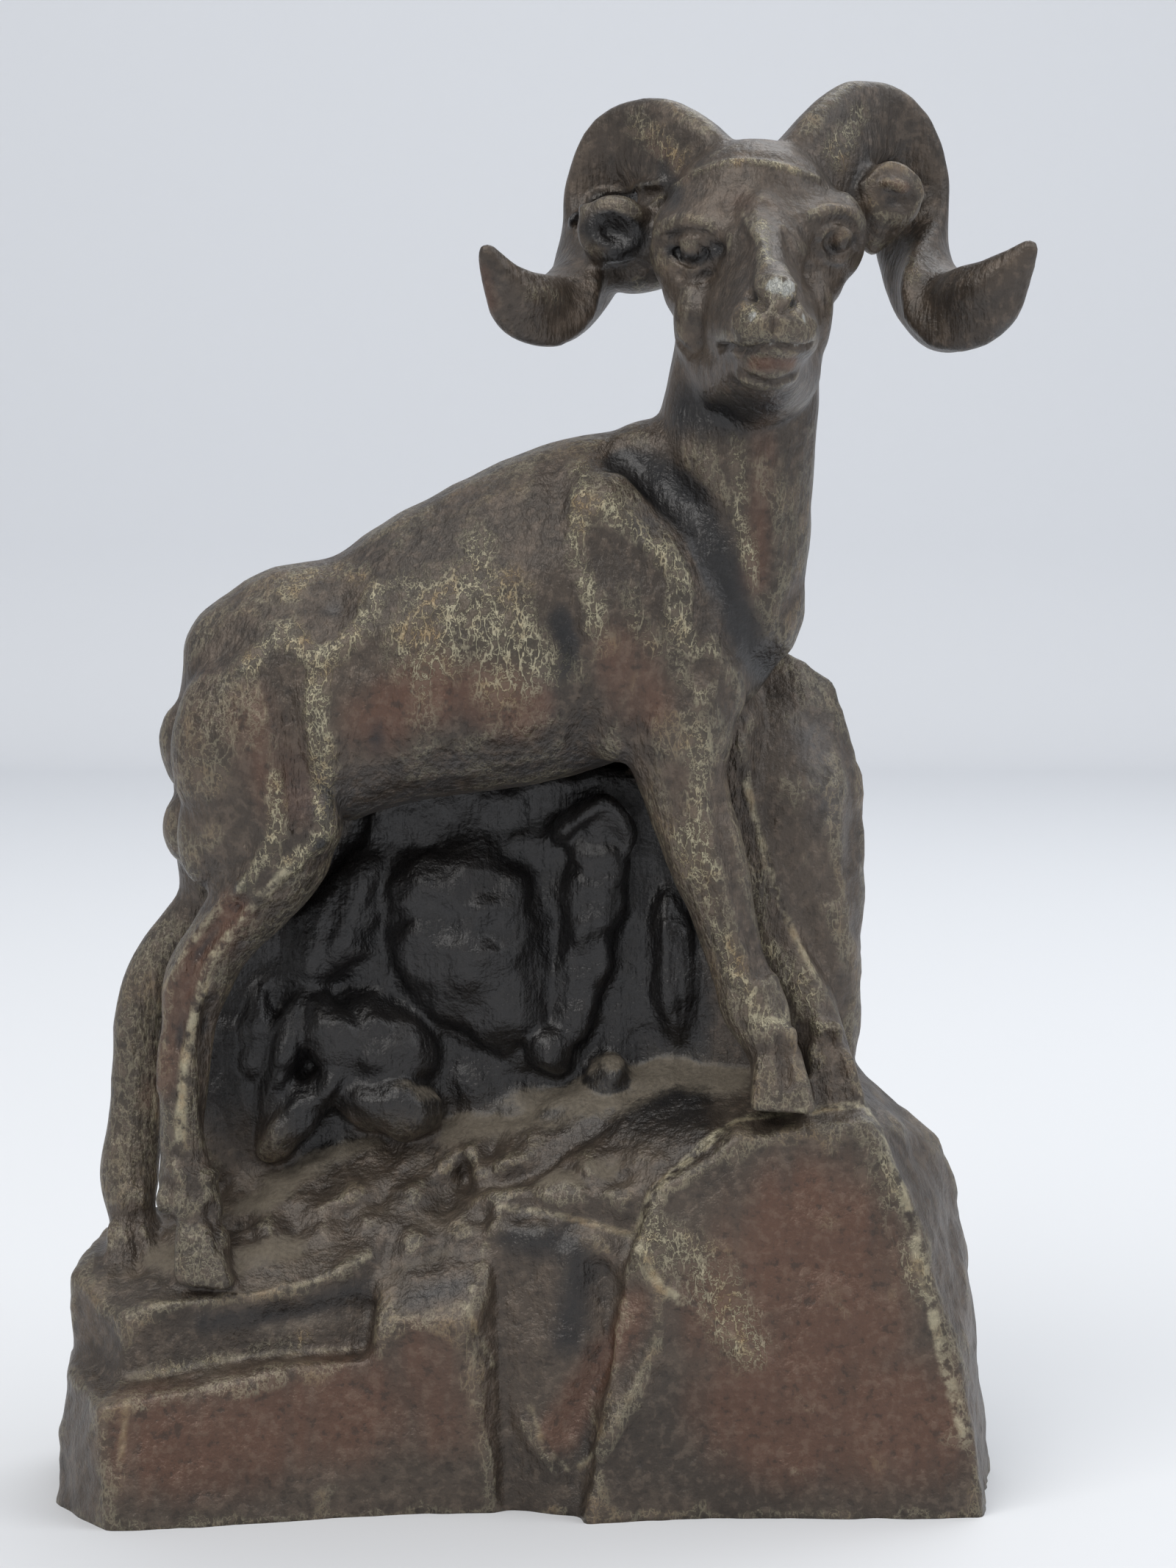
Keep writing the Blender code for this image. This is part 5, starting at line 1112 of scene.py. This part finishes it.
def bronze_finish(look):
    """Dark patina over cast metal: tan on worn ridges, red brown in patches, dust, painted shade in the
    hollows, a painted sheen on the undersides, and silver that is partly painted highlight.
    """
    desk = Desk("worn_bronze")
    ridge, crease, rock, horn, fur, level, worn, rusty, shade_mask, dusty, glint_and_bare_metal, painted_sheen, edge = (
        desk.layer(name) for name in (
            "ridge", "crease", "rock", "horn", "fur", "level", "wear", "rust", "painted_shade", "dust",
            "glint_and_bare_metal", "painted_sheen", "edge",
        )
    )

    slant = (0, np.radians(-32), 0)
    hair = desk.grain(1000, 3.0, stretch=(1.5, 1.5, 0.5), turn=slant)
    tuft = desk.grain(430, 3.0, stretch=(1.5, 1.5, 0.6), turn=slant)
    cloud = desk.grain(55, 4.0)
    patch = desk.grain(170, 5.0, rough=0.65)
    speck = desk.grain(1900, 3.0)
    pebble = desk.grain(760, 4.0, rough=0.62)
    lines = desk.grain(560, 3.0, stretch=(2.4, 2.4, 0.28))
    streak = desk.grain(130, 4.0, stretch=(2.6, 1.0, 0.35), turn=(0, np.radians(10), 0))
    squiggle = 1 - (pebble * 2 - 1).size() * 15.0
    curl = 1 - (tuft * 2 - 1).size() * 15.0

    tan = desk.mix(patch.step(0.46, 0.7), look.wear, look.gold)
    base = desk.mix(cloud.step(0.36, 0.64), look.patina, [0.6 * part for part in look.patina])
    base = desk.mix(patch.step(0.5, 0.7) * 0.5, base, [1.7 * part for part in look.patina])
    # Painted sheen: blue grey on downward-facing surfaces, standing in for reflected light
    base = desk.mix((painted_sheen * patch.step(0.3, 0.66)) * 0.7, base, look.painted_sheen)
    red = (rusty * (cloud * 0.6 + streak * 1.0)).step(0.16, 0.72)
    base = desk.mix(red * (0.45 + pebble * 0.8), base, look.rust)
    base = desk.mix(pebble.step(0.5, 0.64) * 0.28, base, [2.6 * part for part in look.patina])
    base = desk.mix(pebble.step(0.44, 0.34) * 0.5, base, [0.3 * part for part in look.patina])
    marks = squiggle.most(curl).step(0.0, 0.8)
    rubbed = (worn * 1.1 + patch * 1.5 + tuft * 0.7 + ridge * 0.15 - 1.35).step(0.0, 0.8)
    rubbed = rubbed * worn.step(0.0, 0.35)
    base = desk.mix(rubbed * (marks * 0.82 + 0.06), base, tan)
    crest = (ridge * (1 - horn * 0.8) + patch * 1.2 + tuft * 0.6 - 1.35).step(0.0, 0.7) * (1 - shade_mask)
    base = desk.mix(crest * ridge.step(0.2, 0.7) * (marks * 0.3 + 0.04), base, tan)
    # Painted shade: creases and the listed dark places are darkened towards near black, standing in for
    # shade
    hollow = crease * (1 - dusty) * (1 - worn) * (0.2 + rock * 0.12) * (1 - shade_mask)
    dark = (shade_mask * 1.0 + hollow).step(0.15, 0.95)
    base = desk.mix(dark * 0.93, base, look.painted_shade)
    rim = edge.step(0.35, 0.9) * (patch * 0.7 + pebble * 0.9).step(0.66, 0.92)
    base = desk.mix(rim * 0.7, base, tan)
    powder = (dusty * (level * 0.8 + 0.3) * (speck * 0.6 + patch * 0.9)).step(0.14, 0.6)
    settled = (rock * level * patch.step(0.35, 0.7)) * 0.3 * (1 - shade_mask)
    base = desk.mix(powder.most(settled) * (0.3 + speck * 0.9), base, look.dust)
    # Silver at the nose and muzzle, partly bare metal and partly painted highlight, and painted glints on
    # the eyes
    silver = (glint_and_bare_metal * (pebble * 1.3 + speck * 0.3)).step(0.46, 0.72)
    base = desk.mix(silver * 0.75, base, look.silver)

    rough = 0.33 + patch * 0.22 + powder * 0.4 - dark * 0.1
    height = (
        fur * (tuft * 0.9 + hair * 0.9 + pebble * 0.5) + horn * lines * 0.6
        + rock * (pebble * 0.6 + patch * 0.7 + streak * (0.8 + shade_mask * 0.8))
        + speck * 0.25 + patch * 0.4 + rubbed * marks * 0.4
    )
    bump = desk.node("ShaderNodeBump", values={
        "Strength": 0.85, "Distance": 0.0006, "Height": height,
    })
    desk.set(Base_Color=base, Roughness=rough, Metallic=0.35, Coat_Weight=0.08 + dark * 0.1, Normal=bump)
    desk.shader.inputs["Specular IOR Level"].default_value = 0.6
    desk.shader.inputs["Coat Roughness"].default_value = 0.2
    return desk.material


def sheet_finish(look):
    """Dark painted sheet metal, slightly glossy, with faint handling marks."""
    desk = Desk("dark_sheet")
    cloud = desk.grain(60, 4.0)
    speck = desk.grain(700, 2.0)
    base = desk.mix(cloud.step(0.4, 0.7), look.sheet, [1.5 * part for part in look.sheet])
    bump = desk.node("ShaderNodeBump", values={"Strength": 0.2, "Distance": 0.0001, "Height": speck})
    desk.set(Base_Color=base, Roughness=0.36 + cloud * 0.2, Metallic=0.4, Normal=bump)
    return desk.material


def rubber_finish(look):
    """Matt black rubber with a little dust in its pores."""
    desk = Desk("black_rubber")
    speck = desk.grain(1100, 3.0)
    base = desk.mix(speck.step(0.55, 0.8) * 0.3, look.rubber, look.dust)
    bump = desk.node("ShaderNodeBump", values={"Strength": 0.3, "Distance": 0.00008, "Height": speck})
    desk.set(Base_Color=base, Roughness=0.72, Normal=bump)
    return desk.material


def colour(name, words, value):
    return bpy.props.FloatVectorProperty(
        name=name, description=words, subtype="COLOR", size=3, min=0, max=1, default=value
    )


class BankLook(bpy.types.PropertyGroup):
    """Colours and fineness of the coin bank."""

    grain: bpy.props.FloatProperty(
        name="Modelling grain", description="Size of the voxels that the casting is blended on",
        default=0.4 * MM, min=0.3 * MM, max=2 * MM, unit="LENGTH", precision=5,
    )
    patina: colour("Patina", "Dark brown skin of the bronzed metal", (0.072, 0.054, 0.040))
    rust: colour("Red brown", "Warm brown where the patina is thin", (0.108, 0.052, 0.032))
    wear: colour("Wear", "Pale tan of the rubbed ridges", (0.42, 0.38, 0.26))
    gold: colour("Gold", "Deeper tan of the rubbed ridges", (0.30, 0.21, 0.11))
    # Painted shade: near black painted into the hollows, creases and the recess under the belly, where
    # shade falls
    painted_shade: colour("Painted shade", "Near black of the hollows", (0.010, 0.010, 0.011))
    dust: colour("Dust", "Grey tan dust on the ledges", (0.19, 0.16, 0.12))
    # Painted sheen: blue grey painted on downward-facing surfaces, standing in for reflected light
    painted_sheen: colour("Cool grey", "Blue grey sheen of the undersides", (0.070, 0.074, 0.080))
    # Silver: metal worn bare at the muzzle, partly painted highlight, and the painted glints of the eyes
    silver: colour("Bare metal and glint", "Bright metal at the muzzle", (0.42, 0.43, 0.41))
    sheet: colour("Cover", "Paint of the base cover", (0.035, 0.032, 0.030))
    rubber: colour("Rubber", "Rubber of the stopper", (0.018, 0.018, 0.019))


class StageLook(bpy.types.PropertyGroup):
    """Camera, lights and ground."""

    distance: bpy.props.FloatProperty(
        name="Camera distance", description="From the camera to the bank's middle plane",
        default=0.39485, unit="LENGTH",
    )
    height: bpy.props.FloatProperty(
        name="Camera height", description="Above the surface that the bank stands on",
        default=0.1106, unit="LENGTH",
    )
    tilt: bpy.props.FloatProperty(
        name="Camera tilt", description="Below the horizon", default=np.radians(4.3), subtype="ANGLE"
    )
    lens: bpy.props.FloatProperty(
        name="Focal length", description="On a sensor 36 mm high", default=80.4, unit="CAMERA"
    )
    floor: colour("Floor", "Pale table top", (0.73, 0.74, 0.76))
    wall: colour("Wall", "Pale backdrop", (0.74, 0.755, 0.785))
    key: bpy.props.FloatProperty(
        name="Key light", description="Power of the large soft light", default=12.0, unit="POWER"
    )
    fill: bpy.props.FloatProperty(
        name="Sky", description="Strength of the even light all round", default=0.5
    )


def folder_named(name):
    """The collection of that name, made if it isn't there yet."""
    folder = bpy.data.collections.get(name)
    if folder is None:
        folder = bpy.data.collections.new(name)
        bpy.context.scene.collection.children.link(folder)
    return folder


def inset(outline, distance):
    """The outline moved inwards by a distance, its corners mitred."""
    points = np.array(outline, float)
    before = unit(points - np.roll(points, 1, axis=0))
    after = unit(np.roll(points, -1, axis=0) - points)
    inward_before = np.stack([-before[:, 1], before[:, 0]], axis=1)
    inward_after = np.stack([-after[:, 1], after[:, 0]], axis=1)
    mitre = unit(inward_before + inward_after)
    stretch = (mitre * inward_after).sum(1)
    return points + mitre * (distance / np.maximum(stretch, 0.5))[:, None]


def add_plate(clay, outline, low, high):
    """A flat plate of an outline, from one height to another."""
    ring = [clay.verts.new((x, y, low)) for x, y in outline]
    face = clay.faces.new(ring)
    raised = bmesh.ops.extrude_face_region(clay, geom=[face])
    tops = [vert for vert in raised["geom"] if isinstance(vert, bmesh.types.BMVert)]
    bmesh.ops.translate(clay, verts=tops, vec=(0, 0, high - low))
    bmesh.ops.recalc_face_normals(clay, faces=clay.faces[:])


def add_box(clay, place, size):
    bmesh.ops.create_cube(clay, size=1, matrix=Matrix.Translation(place) @ Matrix.Diagonal((*size, 1)))


def casting_openings(casting, folder):
    """Cut the flat foot, the hollow with its mouth and seat, and the coin slot."""
    below = bmesh.new()
    add_box(below, *UNDER_FOOT)
    cut(casting, below, folder)
    shapes = bmesh.new()
    add_torso(shapes, WALL)
    add_wall_rocks(shapes, WALL)
    add_foot_rocks(shapes, WALL)
    hollow = new_object("hollow", shapes, folder)
    remesh(hollow, HOLLOW_GRAIN)
    thin(hollow, HOLLOW_FACES, np.zeros(len(hollow.data.vertices)))
    space = bmesh.new()
    space.from_mesh(hollow.data)
    bpy.data.objects.remove(hollow)
    cut(casting, space, folder)
    mouth = bmesh.new()
    add_plate(mouth, inset(FOOT, RIM + SEAT), -1, SEAT_TOP + LEDGE_THICK + 2)
    cut(casting, mouth, folder)
    seat = bmesh.new()
    add_plate(seat, inset(FOOT, RIM), -1, SEAT_TOP)
    cut(casting, seat, folder)
    slot = bmesh.new()
    add_box(slot, SLOT_PLACE, SLOT_SIZE)
    cut(casting, slot, folder)


def fit(places, low, high):
    """Places in metres drawn in to lie within a box, where they reach past it."""
    least, most = places.min(0), places.max(0)
    share = np.minimum((high - low) / (most - least), 1)
    moved = (places - least) * share + least
    return moved + np.maximum(low - moved.min(0), 0) - np.maximum(moved.max(0) - high, 0)


class BANK_OT_casting(bpy.types.Operator):
    """Model the ram and its rock, and give them their bronze finish"""

    bl_idname = "bank.casting"
    bl_label = "Casting"

    def execute(self, context):
        look = context.scene.bank_look
        folder = folder_named("coin_bank")
        casting, ram_tree = make_outside(folder, look.grain / MM)
        front = fade(-places_of(casting)[:, 1], -10, 0)
        thin(casting, MOST_FACES, np.maximum(fade(places_of(casting)[:, 2], 116, 126), 0.35 * front))
        casting_openings(casting, folder)
        paint(casting, ram_tree)
        places = (places_of(casting) + np.array(SHIFT)) * MM
        put_places(casting, fit(places, *(np.array(corner) for corner in CAD_BOX)))
        casting.data.polygons.foreach_set("use_smooth", np.ones(len(casting.data.polygons), bool))
        casting.name = "ram_and_rock"
        casting.data.materials.clear()
        casting.data.materials.append(bronze_finish(look))
        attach(casting, "root")
        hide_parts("casting")
        return {"FINISHED"}


class BANK_OT_fittings(bpy.types.Operator):
    """Finish the base cover and the coin stopper"""

    bl_idname = "bank.fittings"
    bl_label = "Cover and stopper"

    def execute(self, context):
        look = context.scene.bank_look
        for name, finish in (("base_cover", sheet_finish), ("coin_stopper", rubber_finish)):
            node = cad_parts[name]
            material = finish(look)
            for slot in node.material_slots:
                slot.material = material
        return {"FINISHED"}


class BANK_OT_stage(bpy.types.Operator):
    """Set up the pale floor and backdrop, the soft lights and the camera"""

    bl_idname = "bank.stage"
    bl_label = "Stage"

    def execute(self, context):
        stage = context.scene.bank_stage
        folder = folder_named("stage")
        deep, near, high, wide = 1.25, -1.9, 2.6, 2.6
        corner, steps = 0.10, 12
        profile = [(near, 0.0), (deep - corner, 0.0)]
        for step in range(1, steps + 1):
            turn = np.pi / 2 * step / steps
            profile.append((deep - corner + corner * np.sin(turn), corner - corner * np.cos(turn)))
        profile.append((deep, high))
        sweep = bmesh.new()
        rails = [[sweep.verts.new((side * wide, y, z)) for y, z in profile] for side in (-1, 1)]
        for i in range(len(profile) - 1):
            sweep.faces.new((rails[0][i], rails[1][i], rails[1][i + 1], rails[0][i + 1]))
        mesh = bpy.data.meshes.new("floor")
        sweep.to_mesh(mesh)
        sweep.free()
        floor = bpy.data.objects.new("floor", mesh)
        folder.objects.link(floor)
        mesh.polygons.foreach_set("use_smooth", np.ones(len(mesh.polygons), bool))
        desk = Desk("paper")
        place = desk.node("ShaderNodeTexCoord", out="Object")
        rise = desk.node("ShaderNodeSeparateXYZ", values=[place], out="Y")
        desk.set(Base_Color=desk.mix(rise.step(0.1, 1.1), stage.floor, stage.wall), Roughness=0.9)
        desk.shader.inputs["Specular IOR Level"].default_value = 0.1
        mesh.materials.append(desk.material)

        for name, place, aim, size, power, tint in (
            ("key", (-0.55, -0.75, 1.15), (0, 0, 0.08), 1.1, stage.key, (1, 0.985, 0.96)),
            ("side", (0.95, -0.35, 0.75), (0, 0, 0.09), 0.8, stage.key * 0.35, (0.95, 0.97, 1)),
            ("rim", (0.3, 0.5, 1.0), (0, 0, 0.1), 0.8, stage.key * 0.4, (0.95, 0.98, 1)),
        ):
            data = bpy.data.lights.new(name, "AREA")
            data.shape = "SQUARE"
            data.size = size
            data.energy = power
            data.color = tint
            light = bpy.data.objects.new(name, data)
            light.location = place
            light.rotation_euler = (Vector(aim) - Vector(place)).to_track_quat("-Z", "Y").to_euler()
            folder.objects.link(light)

        world = bpy.data.worlds.new("studio")
        world.use_nodes = True
        sky = world.node_tree.nodes["Background"]
        sky.inputs["Color"].default_value = (0.95, 0.97, 1.0, 1)
        sky.inputs["Strength"].default_value = stage.fill
        context.scene.world = world

        lens = bpy.data.cameras.new("camera")
        lens.lens = stage.lens
        lens.sensor_fit = "VERTICAL"
        lens.sensor_height = 36
        lens.clip_start = 0.01
        camera = bpy.data.objects.new("camera", lens)
        camera.location = ((EYE[0] + SHIFT[0]) * MM, -stage.distance, stage.height)
        camera.rotation_euler = (np.pi / 2 - stage.tilt, 0, 0)
        folder.objects.link(camera)
        context.scene.camera = camera
        context.scene.view_settings.view_transform = "Standard"
        return {"FINISHED"}


class BANK_PT_panel(bpy.types.Panel):
    """Lists the pieces of the coin bank"""

    bl_idname = "BANK_PT_panel"
    bl_label = "Coin bank"
    bl_space_type = "VIEW_3D"
    bl_region_type = "UI"
    bl_category = "Coin bank"

    def draw(self, context):
        layout = self.layout
        for operator in OPERATORS:
            layout.operator(operator.bl_idname)
        for group in (context.scene.bank_look, context.scene.bank_stage):
            for name in group.__annotations__:
                layout.prop(group, name)


OPERATORS = (BANK_OT_casting, BANK_OT_fittings, BANK_OT_stage)
CLASSES = (BankLook, StageLook, *OPERATORS, BANK_PT_panel)


def register():
    for item in CLASSES:
        bpy.utils.register_class(item)
    bpy.types.Scene.bank_look = bpy.props.PointerProperty(type=BankLook)
    bpy.types.Scene.bank_stage = bpy.props.PointerProperty(type=StageLook)


def unregister():
    del bpy.types.Scene.bank_stage
    del bpy.types.Scene.bank_look
    for item in reversed(CLASSES):
        bpy.utils.unregister_class(item)


def main():
    register()
    bpy.ops.bank.casting()
    bpy.ops.bank.fittings()
    bpy.ops.bank.stage()


if __name__ == "__main__":
    main()
